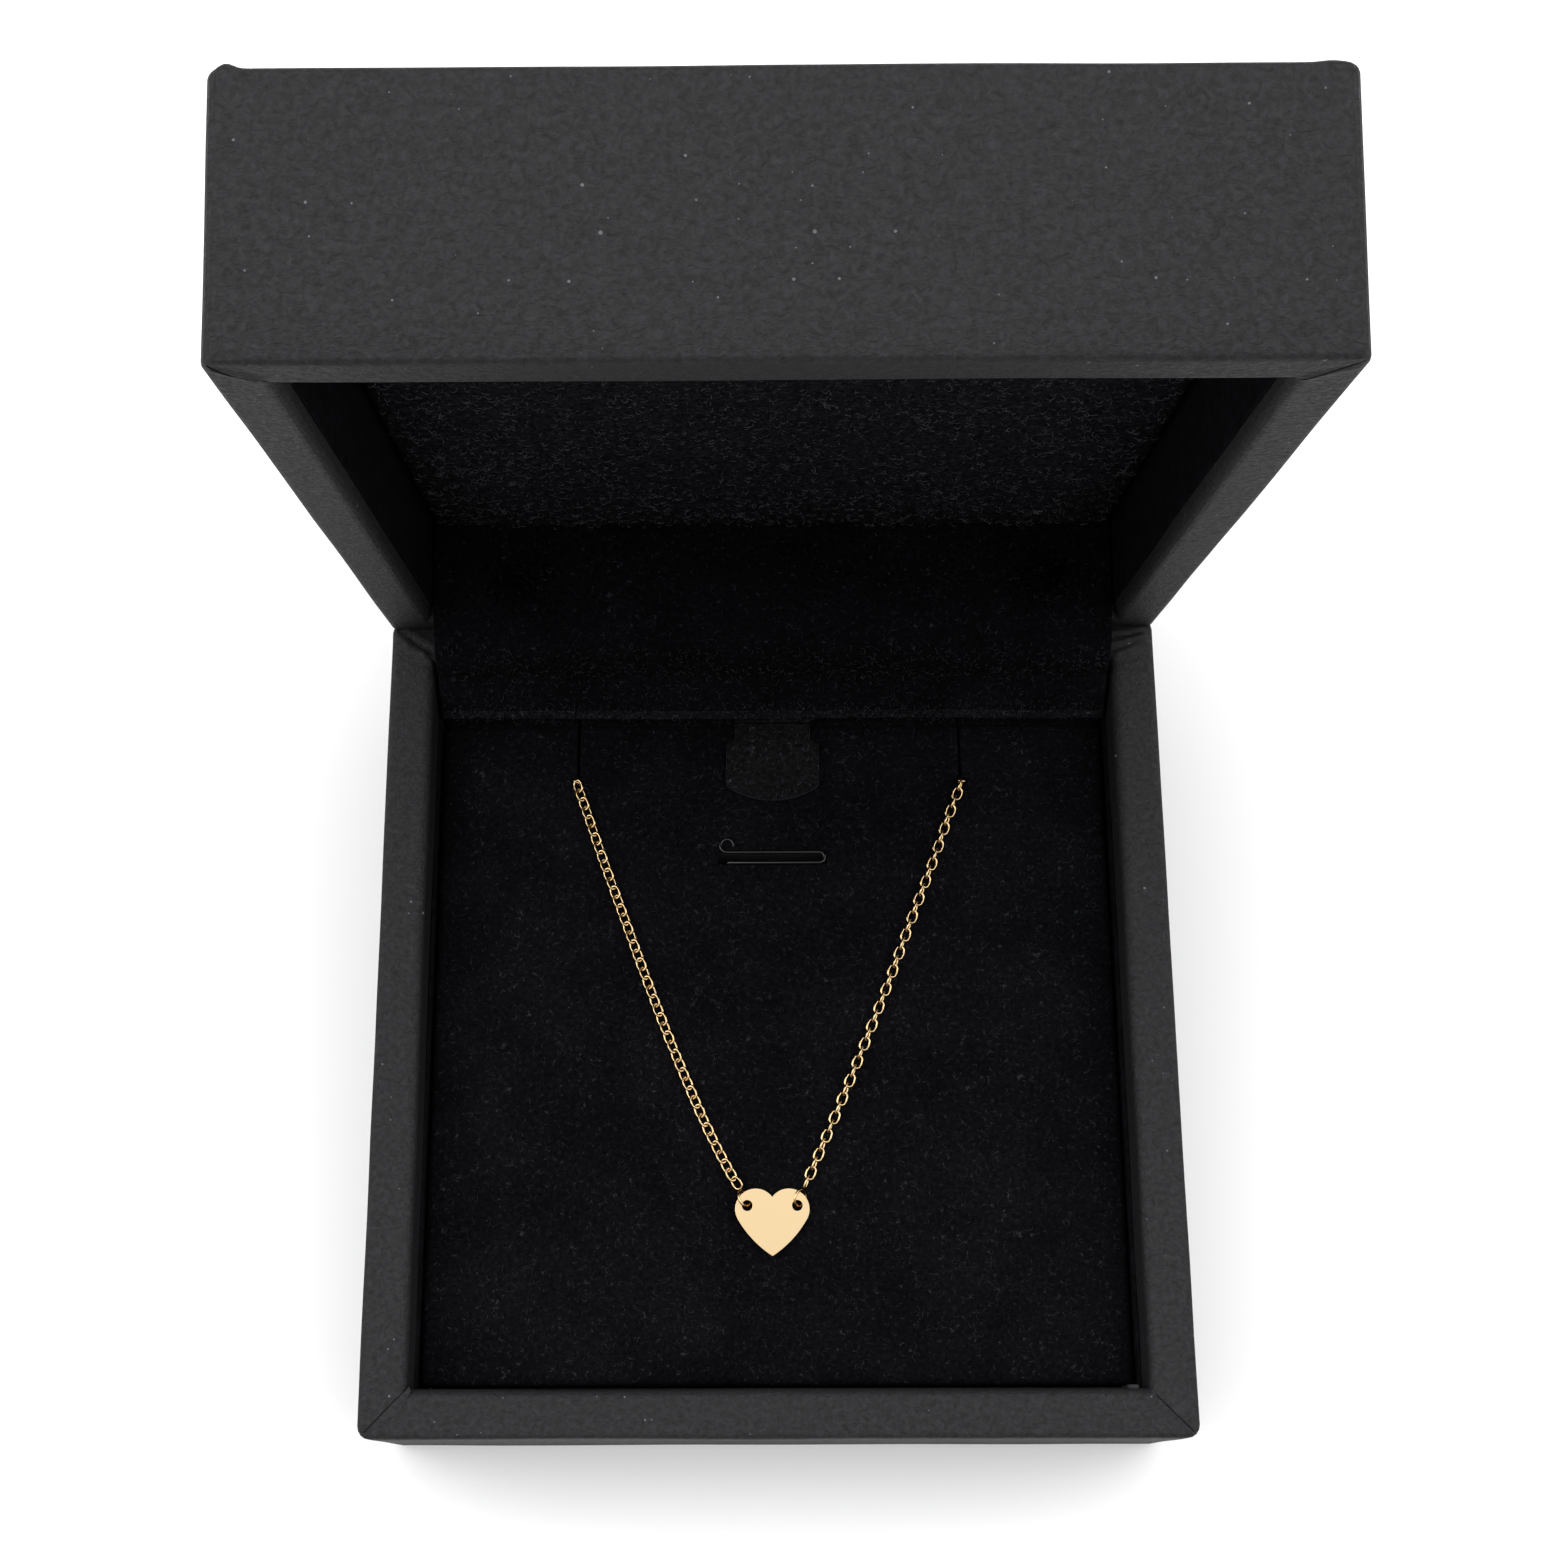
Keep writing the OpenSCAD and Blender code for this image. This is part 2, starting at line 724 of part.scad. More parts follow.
// the wire keeper, bent from one wire: a prong down into the foam, a hairpin and an open eye
module keeper_wire() {
    half = leg_length / 2;
    reach = leg_spacing / 2;
    route = concat(
        [
            [-half, -reach, -prong_depth - wire_r - wire_gap],
            [-half, -reach, -wire_r],
            [-half + wire_r, -reach, 0],
            [half, -reach, 0]
        ],
        [for (a = [-75 : 15 : 75]) [half + reach * cos(a), reach * sin(a), 0]],
        [[half, reach, 0]],
        [for (a = [-90 : -20 : -370]) [-half + eye_r * cos(a), reach + eye_r + eye_r * sin(a), 0]]
    );
    color([0.1, 0.1, 0.1]) translate([0, slot_y, pad_top + wire_r + wire_gap]) tube(route, wire_r);
}

// ---- the necklace ----

// the direction from one point to the next on a route, at the given index
function heading(route, i) =
    let (
        a = route[max(i - 1, 0)],
        b = route[min(i + 1, len(route) - 1)]
    )
    (b - a) / norm(b - a);

// a tube with eight sides along a route
module tube(route, radius) {
    sides = 8;
    count = len(route);
    rings = [
        for (i = [0 : count - 1])
            let (
                along = heading(route, i),
                helper = abs(along[2]) > 0.9 ? [0, 1, 0] : [0, 0, 1],
                side = cross(along, helper) / norm(cross(along, helper)),
                up = cross(side, along)
            )
            for (k = [0 : sides - 1])
                route[i] + radius * (cos(k * 360 / sides) * side + sin(k * 360 / sides) * up)
    ];
    faces = [
        [for (k = [0 : sides - 1]) k],
        for (i = [0 : count - 2], k = [0 : sides - 1])
            [
                i * sides + k,
                (i + 1) * sides + k,
                (i + 1) * sides + (k + 1) % sides,
                i * sides + (k + 1) % sides
            ],
        [for (k = [sides - 1 : -1 : 0]) (count - 1) * sides + k]
    ];
    polyhedron(points = rings, faces = faces, convexity = 6);
}

// where a strand starts: just past the far side of its ring, on the way to its slit
function strand_start(slit_x, hole_x) =
    let (
        turn = strand_angle(slit_x, hole_x),
        away = sign(slit_x - hole_x),
        reach = 2 * ring_r + ring_wire_r + swing_gap
    )
    [hole_x + away * reach * sin(turn), hole_y + reach * cos(turn), chain_z];

// the strand that lies on the pad, from its ring to its slit, bowed outwards by a sine arc
function strand_on_pad(slit_x, hole_x, bow) =
    let (
        start = strand_start(slit_x, hole_x),
        end = [slit_x, slit_y - chain_d, chain_z],
        away = sign(slit_x - hole_x)
    )
    [
        for (i = [0 : 10])
            start + (end - start) * i / 10 + [away * bow * sin(18 * i), 0, 0]
    ];

// the strand's way down through the hole of its slit and onto the floor
function strand_down(slit_x) = [
    [slit_x, slit_y - chain_d / 4, chain_z],
    [slit_x, slit_y, pad_top - chain_gap],
    [slit_x, slit_y, pad_top - chain_d],
    [slit_x, slit_y, pad_bottom],
    [slit_x, slit_y - chain_d / 2, (pad_bottom + tail_z) / 2 + chain_d],
    [slit_x, slit_y - 2 * chain_d, tail_z + chain_d / 2]
];

// a strand's whole route, down to where it ends beside its ring at the clasp
function strand(slit_x, hole_x, bow, tail, end_x) = concat(
    strand_on_pad(slit_x, hole_x, bow),
    strand_down(slit_x),
    [for (p = tail) p + [0, 0, tail_z]],
    [
        [end_x + sign(end_x) * 2 * chain_d, clasp_y, clasp_z],
        [end_x, clasp_y, clasp_z]
    ]
);

module chain_left() {
    color("gold") tube(strand(left_slit_x, left_hole_x, left_bow, left_tail, left_end_x), chain_d / 2);
}

module chain_right() {
    color("gold") tube(strand(right_slit_x, right_hole_x, right_bow, right_tail, right_end_x), chain_d / 2);
}

// the heart's outline, from the level of its lobes' tops: two lobes, and bowed sides that leave
// the lobes smoothly and meet in the tip
module heart_outline() {
    steps = 10;
    lobe_x = heart_width / 2 - lobe_r;
    tip_y = lobe_r - heart_height;
    along = -lobe_x * cos(side_start) - tip_y * sin(side_start);
    back = (lobe_x * lobe_x + tip_y * tip_y - lobe_r * lobe_r) / (2 * lobe_r - 2 * along);
    side_x = lobe_x - back * cos(side_start);
    side_y = back * sin(side_start) - lobe_r;
    notch_turn = acos(max(-lobe_x / lobe_r, -1));
    tip_turn = atan2(-heart_height - side_y, -side_x);
    lobe_turns = [for (i = [1 : 2 * steps]) notch_turn - i * (notch_turn + side_start) / (2 * steps)];
    side_turns = [for (i = [1 : steps - 1]) -side_start + i * (tip_turn + side_start) / steps];
    lobe = [for (a = lobe_turns) [lobe_x + lobe_r * cos(a), lobe_r * sin(a) - lobe_r]];
    side = [for (a = side_turns) [side_x + (back + lobe_r) * cos(a), side_y + (back + lobe_r) * sin(a)]];
    right = concat(lobe, side);
    left = [for (i = [len(right) - 1 : -1 : 0]) [-right[i][0], right[i][1]]];
    notch = [0, lobe_r * sin(notch_turn) - lobe_r];
    polygon(concat([notch], right, [[0, -heart_height]], left));
}

module heart_pendant() {
    color("gold") translate([necklace_shift, heart_top_y, heart_z - heart_t / 2]) linear_extrude(heart_t)
        difference() {
            heart_outline();
            for (side = [-1, 1]) {
                translate([side * heart_hole_spacing / 2, -heart_hole_drop]) circle(heart_hole_r);
            }
        }
}

// the two rings, each through a hole of the heart and leaning along its strand
module pendant_rings() {
    color("gold") {
        pendant_ring(left_hole_x, strand_angle(left_slit_x, left_hole_x));
        pendant_ring(right_hole_x, -strand_angle(right_slit_x, right_hole_x));
    }
}

module pendant_ring(hole_x, turn) {
    translate([hole_x, hole_y, heart_z]) rotate([0, 0, turn])
        rotate([0, 90 - ring_tilt, 0]) translate([0, ring_r, 0])
            rotate_extrude() translate([ring_r, 0]) circle(ring_wire_r, $fn = 24);
}

// the clasp's hollow ring, open at its mouth on the right, with an eye for the left strand
module clasp_ring() {
    color("gold") translate([0, clasp_y, clasp_z]) {
        difference() {
            rotate([0, 0, mouth_angle / 2]) rotate_extrude(angle = 360 - mouth_angle)
                translate([clasp_r, 0]) difference() {
                    circle(clasp_tube_r, $fn = 32);
                    circle(clasp_tube_r - clasp_wall, $fn = 32);
                }
            rotate([0, 0, mouth_angle / 2 - over])
                rotate_extrude(angle = trigger_travel + 3 * trigger_overlap)
                    translate([clasp_r, -trigger_r - trigger_clearance])
                        square([2 * clasp_tube_r, 2 * (trigger_r + trigger_clearance)]);
        }
        translate([-clasp_eye_x, 0, 0]) rotate([90, 0, 0])
            rotate_extrude() translate([clasp_eye_r, 0]) circle(end_ring_wire_r, $fn = 24);
    }
}

// the clasp's trigger: a rod across the mouth, with a thumb pin that stands out of the tube
module clasp_trigger() {
    color("gold") translate([0, clasp_y, clasp_z]) {
        rotate([0, 0, -mouth_angle / 2 - trigger_overlap])
            rotate_extrude(angle = mouth_angle + 3 * trigger_overlap)
                translate([clasp_r, 0]) circle(trigger_r, $fn = 32);
        rotate([0, 0, mouth_angle / 2 + trigger_overlap]) rotate([0, 90, 0])
            translate([0, 0, clasp_r]) cylinder(h = 2 * clasp_tube_r, r = trigger_r * 0.9, $fn = 32);
    }
}

// the ring at the right strand's end, hooked round the trigger in the clasp's mouth
module clasp_end_ring() {
    color("gold") translate([end_ring_x, clasp_y, clasp_z])
        rotate([90, 0, 0]) rotate_extrude() translate([end_ring_r, 0])
            circle(end_ring_wire_r, $fn = 24);
}

floor_board();
base_front_board();
base_back_board();
base_left_board();
base_right_board();
base_wrap();
base_bottom_cover();
base_lining();
pad_riser();
hinge_leaf_base();
hinge_pin();
hinge_nails_base();
snap_spring();
hinge_strip();
lid_top_board();
lid_front_board();
lid_back_board();
lid_left_board();
lid_right_board();
lid_wrap();
lid_lining();
hinge_leaf_lid();
hinge_nails_lid();
lid_pad_card();
lid_pad_foam();
lid_pad_cover();
pad_card();
pad_foam();
pad_cover();
tab_anchor();
pull_tab();
keeper_wire();
chain_left();
chain_right();
clasp_ring();
clasp_trigger();
clasp_end_ring();
heart_pendant();
pendant_rings();
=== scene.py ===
import math
import random
import bmesh
import bpy
from mathutils import Matrix, Vector, noise


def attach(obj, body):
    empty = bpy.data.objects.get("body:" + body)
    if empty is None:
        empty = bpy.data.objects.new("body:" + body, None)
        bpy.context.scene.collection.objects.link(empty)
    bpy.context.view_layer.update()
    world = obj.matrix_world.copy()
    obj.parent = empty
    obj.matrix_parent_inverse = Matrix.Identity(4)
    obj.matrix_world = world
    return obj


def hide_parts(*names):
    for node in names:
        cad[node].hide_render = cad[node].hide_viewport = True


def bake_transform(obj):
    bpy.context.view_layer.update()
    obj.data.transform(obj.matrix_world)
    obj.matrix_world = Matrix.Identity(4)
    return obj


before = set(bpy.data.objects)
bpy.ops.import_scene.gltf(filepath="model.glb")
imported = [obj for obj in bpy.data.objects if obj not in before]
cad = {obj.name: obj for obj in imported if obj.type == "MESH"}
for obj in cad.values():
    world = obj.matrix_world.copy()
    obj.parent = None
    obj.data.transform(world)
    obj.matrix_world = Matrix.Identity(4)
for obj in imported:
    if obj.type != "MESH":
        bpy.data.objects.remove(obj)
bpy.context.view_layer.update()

scene = bpy.context.scene

# ----------------------------------------------------------
# Camera: held above the front edge and tipped 16 degrees off straight down, so that the lid's
# front wall, its inside, the pad and a sliver of the base's front all show.
camera_data = bpy.data.cameras.new("camera")
camera_data.sensor_fit = "HORIZONTAL"
camera_data.sensor_width = 36.0
camera_data.lens = 50.331
camera_data.shift_x = 0.03064
camera_data.shift_y = 0.05022
camera_data.clip_start = 0.01
camera_data.clip_end = 60.0
camera = bpy.data.objects.new("camera", camera_data)
scene.collection.objects.link(camera)
camera_place = (-0.0030012, -0.0538500, 0.2645440)
camera_pan = 0.0225354
camera_tilt = 0.2874639
camera_roll = -0.0256757
camera_turn = (
    Matrix.Rotation(camera_pan, 4, "Z")
    @ Matrix.Rotation(camera_tilt, 4, "X")
    @ Matrix.Rotation(camera_roll, 4, "Z")
)
camera.matrix_world = Matrix.Translation(camera_place) @ camera_turn
scene.camera = camera

# ----------------------------------------------------------
# Table and studio: a white table in a white room that lights the object from all round, with one
# small soft lamp high at the left, as for a product on a white ground.
def clear():
    """Leaves edit mode and deselects everything."""
    if bpy.context.object and bpy.context.object.mode != "OBJECT":
        bpy.ops.object.mode_set(mode="OBJECT")
    bpy.ops.object.select_all(action="DESELECT")


def linear(code):
    """An sRGB hex colour as linear red, green, blue and alpha."""
    parts = [int(code[i : i + 2], 16) / 255 for i in (1, 3, 5)]
    return [c / 12.92 if c <= 0.04045 else ((c + 0.055) / 1.055) ** 2.4 for c in parts] + [1.0]


def add(owner, kind, inputs=None, **settings):
    """Adds a node to a finish or the room: its settings, and values or links on its sockets."""
    made = owner.node_tree.nodes.new(kind)
    for name, value in settings.items():
        setattr(made, name, value)
    for name, value in (inputs or {}).items():
        if isinstance(value, bpy.types.NodeSocket):
            owner.node_tree.links.new(value, made.inputs[name])
        else:
            made.inputs[name].default_value = value
    return made


def surface_of(finish):
    return finish.node_tree.nodes["Principled BSDF"]


def new_finish(name, **values):
    """A finish, whose even values sit on its surface shader's own sockets."""
    finish = bpy.data.materials.new(name)
    finish.use_nodes = True
    for socket, value in values.items():
        surface_of(finish).inputs[socket.replace("_", " ")].default_value = value
    return finish


def link(finish, source, socket):
    """Leads a pattern into a socket of the finish's surface shader."""
    finish.node_tree.links.new(source, surface_of(finish).inputs[socket])


clear()
bpy.ops.mesh.primitive_plane_add(size=40, location=(0, 0, 0))
table = bpy.context.object
table.name = "table_top"
# White lacquered board: smooth, with only a dull reflection.
lacquer = new_finish(
    "white_table_lacquer", Base_Color=linear("#FAFAFA"), Roughness=0.75, Specular_IOR_Level=0.2
)
table.data.materials.append(lacquer)


def combine(owner, operation, *values):
    """The result of a sum, a product or a comparison."""
    return add(owner, "ShaderNodeMath", dict(enumerate(values)), operation=operation).outputs[0]


def spread(owner, value, low, high, start=0.0, end=1.0, **settings):
    """A value that runs from start to end, spread over low to high."""
    ends = {"From Min": start, "From Max": end, "To Min": low, "To Max": high}
    made = add(owner, "ShaderNodeMapRange", {"Value": value, **ends}, **settings)
    return made.outputs["Result"]


def ramp(owner, value, *stops):
    """A colour that follows a value, through stops of a position and a colour."""
    made = add(owner, "ShaderNodeValToRGB", {"Fac": value})
    elements = made.color_ramp.elements
    elements[0].position, elements[0].color = stops[0]
    elements[1].position, elements[1].color = stops[-1]
    for position, colour in stops[1:-1]:
        elements.new(position).color = colour
    return made.outputs["Color"]


# The room: a broad soft light all round above, a little weaker straight overhead and behind and
# much weaker in front, over dark walls, which leave a dark line on every rounded edge.
room = bpy.data.worlds.new("studio_room")
room.use_nodes = True
way = add(room, "ShaderNodeTexCoord").outputs["Generated"]
view_way = add(room, "ShaderNodeSeparateXYZ", {0: way})
soft_box = ramp(
    room,
    view_way.outputs["Z"],
    (0.25, (0.07, 0.07, 0.07, 1)),
    (0.55, (1, 1, 1, 1)),
    (0.9, (1, 1, 1, 1)),
    (1.0, (0.51, 0.51, 0.51, 1)),
)
behind = spread(room, view_way.outputs["Y"], 1.0, 0.5, 0.25, 0.9)
ahead = spread(room, view_way.outputs["Y"], 0.14, 1.0, -0.65, -0.05)
shaded_box = combine(room, "MULTIPLY", soft_box, combine(room, "MULTIPLY", ahead, behind))
room_light = combine(room, "MULTIPLY", shaded_box, 2.7)
backdrop = room.node_tree.nodes["Background"]
backdrop.inputs["Color"].default_value = (1.0, 1.0, 1.0, 1.0)
room.node_tree.links.new(room_light, backdrop.inputs["Strength"])
scene.world = room

lamp_data = bpy.data.lights.new("side_lamp", "AREA")
lamp_data.shape = "RECTANGLE"
lamp_data.size = 0.3
lamp_data.size_y = 0.3
lamp_data.energy = 0.5
lamp = bpy.data.objects.new("side_lamp", lamp_data)
scene.collection.objects.link(lamp)
lamp.location = (-0.55, 0.15, 0.75)
lamp.rotation_euler = (-lamp.location).to_track_quat("-Z", "Y").to_euler()
scene.view_settings.view_transform = "Standard"
scene.view_settings.look = "None"

# ----------------------------------------------------------
# Wooden boards of both trays: sawn poplar, butt-jointed and glued. The film covers them but for a
# thin line in the bevelled stop at the back.
def place_of(finish):
    """The point on the piece, in metres, on which the patterns are drawn."""
    return add(finish, "ShaderNodeTexCoord").outputs["Object"]


def clouds(finish, place, scale, detail=2.0, roughness=0.5):
    """The value of a soft noise over a place."""
    values = {"Vector": place, "Scale": scale, "Detail": detail, "Roughness": roughness}
    return add(finish, "ShaderNodeTexNoise", values).outputs["Fac"]


def drawn_out(finish, place, scale, turn=0.0):
    """A place scaled by a different amount each way, which draws a pattern out along X."""
    values = {"Vector": place, "Rotation": (0, 0, turn), "Scale": scale}
    return add(finish, "ShaderNodeMapping", values).outputs["Vector"]


def tint(finish, value, *stops):
    """Colours a surface by a value, through stops of a position and a hex colour."""
    colour = ramp(finish, value, *[(position, linear(code)) for position, code in stops])
    link(finish, colour, "Base Color")


def emboss(finish, height, strength, distance):
    """Raises a surface by a height of up to a distance in metres."""
    values = {"Height": height, "Strength": strength, "Distance": distance}
    bump = add(finish, "ShaderNodeBump", values)
    link(finish, bump.outputs["Normal"], "Normal")


# Poplar, planed and unfinished: pale, with soft grain lines 1.5 mm apart along X.
poplar = new_finish("planed_poplar", Roughness=0.62)
grain = clouds(poplar, drawn_out(poplar, place_of(poplar), (12, 90, 90)), 7.0, 5.0, 0.6)
tint(poplar, grain, (0.35, "#B4905F"), (0.65, "#D3B488"))
emboss(poplar, grain, 0.4, 0.00005)


def refinish(node, finish):
    """Gives a solid that is kept its finish."""
    cad[node].data.materials.clear()
    cad[node].data.materials.append(finish)


for tray in ("base", "lid"):
    for side in ("front", "back", "left", "right"):
        refinish(f"{tray}_{side}_board", poplar)
refinish("floor_board", poplar)
refinish("lid_top_board", poplar)

# ----------------------------------------------------------
# Card of the risers and of both pads: grey millboard, 1.2 to 1.5 mm, cut with a knife.
# Millboard: grey recycled fibre, dull, with darker and lighter specks of about 0.3 mm.
millboard = new_finish("grey_millboard", Roughness=0.9)
specks = clouds(millboard, place_of(millboard), 2600.0, 3.0, 0.7)
tint(millboard, specks, (0.3, "#6E6B66"), (0.7, "#97938C"))
for node in ("pad_riser", "lid_pad_card", "pad_card"):
    refinish(node, millboard)

# ----------------------------------------------------------
# Snap hinge: two leaves of brass strip rolled into knuckles round a steel pin, and nailed through
# the walls. Its spring comes later, on top of the leaves.
def gloss(finish, value, low, high, start=0.0, end=1.0):
    """Sets how rough a surface is by a value that runs from start to end."""
    link(finish, spread(finish, value, low, high, start, end), "Roughness")


# Rolled brass strip: yellow, with fine rolling lines along the hinge, slightly dull.
strip_brass = new_finish(
    "rolled_brass_strip", Base_Color=linear("#C9A35B"), Metallic=1.0
)
rolling_place = drawn_out(strip_brass, place_of(strip_brass), (60, 6000, 6000))
gloss(strip_brass, clouds(strip_brass, rolling_place, 1.0), 0.24, 0.42)
for node in ("hinge_leaf_base", "hinge_leaf_lid"):
    refinish(node, strip_brass)

# Bright drawn steel: neutral grey, drawn smooth, with faint cloudy oiling.
drawn_steel = new_finish(
    "bright_drawn_steel", Base_Color=linear("#B9BBBE"), Metallic=1.0
)
oiling = clouds(drawn_steel, place_of(drawn_steel), 700.0)
gloss(drawn_steel, oiling, 0.2, 0.38)
for node in ("hinge_pin", "hinge_nails_base", "hinge_nails_lid"):
    refinish(node, drawn_steel)

# ----------------------------------------------------------
# Base wrap: one sheet of black leatherette, PU film on paper, drawn over the boards, folded over
# the rim and glued down inside. The corners are mitred, with the spare film folded under.
tray_width = 90.0
tray_depth = 94.0
base_height = 24.0
lid_height = 24.0
tray_floor = 3.0
wall = 5.2
film_t = 0.4
rim_round = 1.1
hinge_y = 45.8
hinge_rise = 0.15
hinge_z = base_height + hinge_rise
open_angle = 80.0


def pick(piece):
    """Selects one piece alone and makes it the active one."""
    clear()
    piece.select_set(True)
    bpy.context.view_layer.objects.active = piece


def settle(piece, finish, degrees, move=Matrix.Identity(4), edge=None):
    """Ends a piece drawn in millimetres: gives it its finish, smooths its edges up to an angle,
    and puts it in its place and into metres. An edge is a second finish and a test for its faces."""
    piece.data.materials.append(finish)
    if edge:
        edge_finish, on_edge = edge
        piece.data.materials.append(edge_finish)
        for face in piece.data.polygons:
            face.material_index = int(on_edge(face))
    pick(piece)
    bpy.ops.object.shade_smooth_by_angle(angle=math.radians(degrees))
    clear()
    piece.data.transform(Matrix.Scale(0.001, 4) @ move)
    if move.determinant() < 0:
        piece.data.flip_normals()
    piece.data.update()


def block(name, low, high):
    """A cube from its low corner to its high corner, in millimetres."""
    clear()
    bpy.ops.mesh.primitive_cube_add(size=1, location=[(a + b) / 2 for a, b in zip(low, high)])
    piece = bpy.context.object
    piece.name = name
    piece.scale = [b - a for a, b in zip(low, high)]
    bpy.ops.object.transform_apply(location=True, rotation=True, scale=True)
    return piece


def rod(radius, depth, place, sides, turn=(0, 0, 0)):
    """A cylinder with its middle at a place, in millimetres."""
    clear()
    bpy.ops.mesh.primitive_cylinder_add(
        vertices=sides, radius=radius, depth=depth, location=place, rotation=turn
    )
    bpy.ops.object.transform_apply(location=True, rotation=True, scale=True)
    return bpy.context.object


def edit(piece):
    """Opens a piece for editing, with nothing selected."""
    pick(piece)
    bpy.ops.object.mode_set(mode="EDIT")
    bpy.ops.mesh.select_all(action="DESELECT")


def take(piece, kind, test):
    """Selects the faces, edges or points of the open piece that pass the test."""
    bpy.ops.mesh.select_mode(type=kind)
    bpy.ops.mesh.select_all(action="DESELECT")
    mesh = bmesh.from_edit_mesh(piece.data)
    group = {"FACE": mesh.faces, "EDGE": mesh.edges, "VERT": mesh.verts}[kind]
    for item in group:
        if test(item):
            item.select_set(True)
    bmesh.update_edit_mesh(piece.data)


def slice_at(piece, axis, places):
    """Cuts the open piece across an axis at each place, so that it can bend there."""
    normal = [float(i == axis) for i in range(3)]
    for place in places:
        bpy.ops.mesh.select_all(action="SELECT")
        bpy.ops.mesh.bisect(plane_co=[place * n for n in normal], plane_no=normal)


def press(piece, kind, **settings):
    """Adds a modifier with its settings and applies it."""
    pick(piece)
    modifier = piece.modifiers.new(kind.lower(), kind)
    for name, value in settings.items():
        setattr(modifier, name, value)
    bpy.ops.object.modifier_apply(modifier=modifier.name)


def steps(low, high, size):
    """Places inside a stretch, evenly spaced and about a size apart."""
    count = max(1, round((high - low) / size))
    return [low + (high - low) * i / count for i in range(1, count)]


def round_over(radius, count, inward):
    """Rounds the edge of the selected face by insets that rise to it, or that sink from it."""
    for i in range(count):
        low, high = (math.pi / 2 * k / count for k in (i, i + 1))
        side = math.cos(low) - math.cos(high)
        rise = math.sin(high) - math.sin(low)
        if inward:
            side, rise = rise, -side
        bpy.ops.mesh.inset(thickness=radius * side, depth=radius * rise)


def wrapped_walls(name, height, closed):
    """The film over a tray's four walls, in the tray's own frame, with its rim up."""
    bottom = 0.8 if closed else 0.3
    outer_round = 0.5
    piece = block(
        name,
        (-tray_width / 2, -tray_depth / 2, bottom),
        (tray_width / 2, tray_depth / 2, height - outer_round),
    )
    edit(piece)
    take(piece, "EDGE", lambda e: abs(e.verts[0].co.z - e.verts[1].co.z) > 1)
    bpy.ops.mesh.bevel(offset=1.4, segments=4, affect="EDGES")
    take(piece, "FACE", lambda f: f.normal.z < -0.5)
    if closed:
        round_over(0.8, 3, False)
    else:
        bpy.ops.mesh.delete(type="FACE")
    take(piece, "FACE", lambda f: f.normal.z > 0.5)
    round_over(outer_round, 3, False)
    # the rim's flat face, whose rounded outer corners draw in to square inner ones
    corner = (tray_width / 2 - wall + rim_round, tray_depth / 2 - wall + rim_round)
    bpy.ops.mesh.inset(thickness=wall - outer_round - rim_round)
    mesh = bmesh.from_edit_mesh(piece.data)
    for v in mesh.verts:
        if v.select:
            v.co.x = math.copysign(corner[0], v.co.x)
            v.co.y = math.copysign(corner[1], v.co.y)
    bmesh.update_edit_mesh(piece.data)
    bpy.ops.mesh.remove_doubles(threshold=0.001)
    on_top = height + 1
    take(piece, "FACE", lambda f: f.normal.z > 0.5 and f.calc_center_median().length < on_top)
    round_over(rim_round, 4, True)
    turned_in = height - rim_round - tray_floor - 0.1
    bpy.ops.mesh.extrude_region_move(TRANSFORM_OT_translate={"value": (0, 0, -turned_in)})
    bpy.ops.mesh.delete(type="FACE")
    press(piece, "SOLIDIFY", thickness=film_t, offset=-1)
    return piece


def slice_film(piece):
    """Cuts the film's faces small enough to bend, with close slices by the corners."""
    edit(piece)
    wide, close = 2.4, 0.35
    slice_at(piece, 0, steps(-39, 39, wide))
    slice_at(piece, 1, steps(-41, 38, wide))
    slice_at(piece, 2, steps(3.2, 22.4, 3.2))
    slice_at(piece, 0, [s * x for s in (-1, 1) for x in steps(38.8, 44.9, close)])
    slice_at(piece, 1, steps(-46.9, -41, close) + steps(38, 46.9, close))
    clear()


def wave(place, depth, length, seed):
    """A smooth unevenness, in millimetres, at a place."""
    return depth * noise.noise(place / length + Vector((seed * 17.3, seed * 5.1, seed * 9.7)))


def ruffle(piece, depth, length, seed):
    """Moves each point along its normal by a smooth unevenness."""
    piece.data.update()
    normals = [v.normal.copy() for v in piece.data.vertices]
    for v, n in zip(piece.data.vertices, normals):
        v.co += n * wave(v.co, depth, length, seed)
    piece.data.update()


def crease(piece, height, folds):
    """Raises the rim along folds: their two ends, rise and half width, in mm."""
    for v in piece.data.vertices:
        if v.co.z < height - 1.5:
            continue
        for x0, y0, x1, y1, rise, half in folds:
            span = Vector((x1 - x0, y1 - y0))
            reach = Vector((v.co.x - x0, v.co.y - y0))
            part = max(0.0, min(1.0, reach.dot(span) / span.length_squared))
            gap = (reach - span * part).length / half
            if gap < 1:
                v.co.z += rise * (0.5 + 0.5 * math.cos(math.pi * gap))
    piece.data.update()


def knife(height, x0, y0, x1, y1, width, depth):
    """An upright blade that scores a line into the rim."""
    length = math.hypot(x1 - x0, y1 - y0)
    blade = block("knife", (-length / 2, -width / 2, height - depth), (length / 2, width / 2, 26))
    turn = Matrix.Rotation(math.atan2(y1 - y0, x1 - x0), 4, "Z")
    blade.data.transform(Matrix.Translation(((x0 + x1) / 2, (y0 + y1) / 2, 0)) @ turn)
    return blade


def turned_block(name, low, high, degrees, place):
    """A block turned about X and then moved to its place."""
    piece = block(name, low, high)
    turn = Matrix.Rotation(math.radians(degrees), 4, "X")
    piece.data.transform(Matrix.Translation(place) @ turn)
    return piece


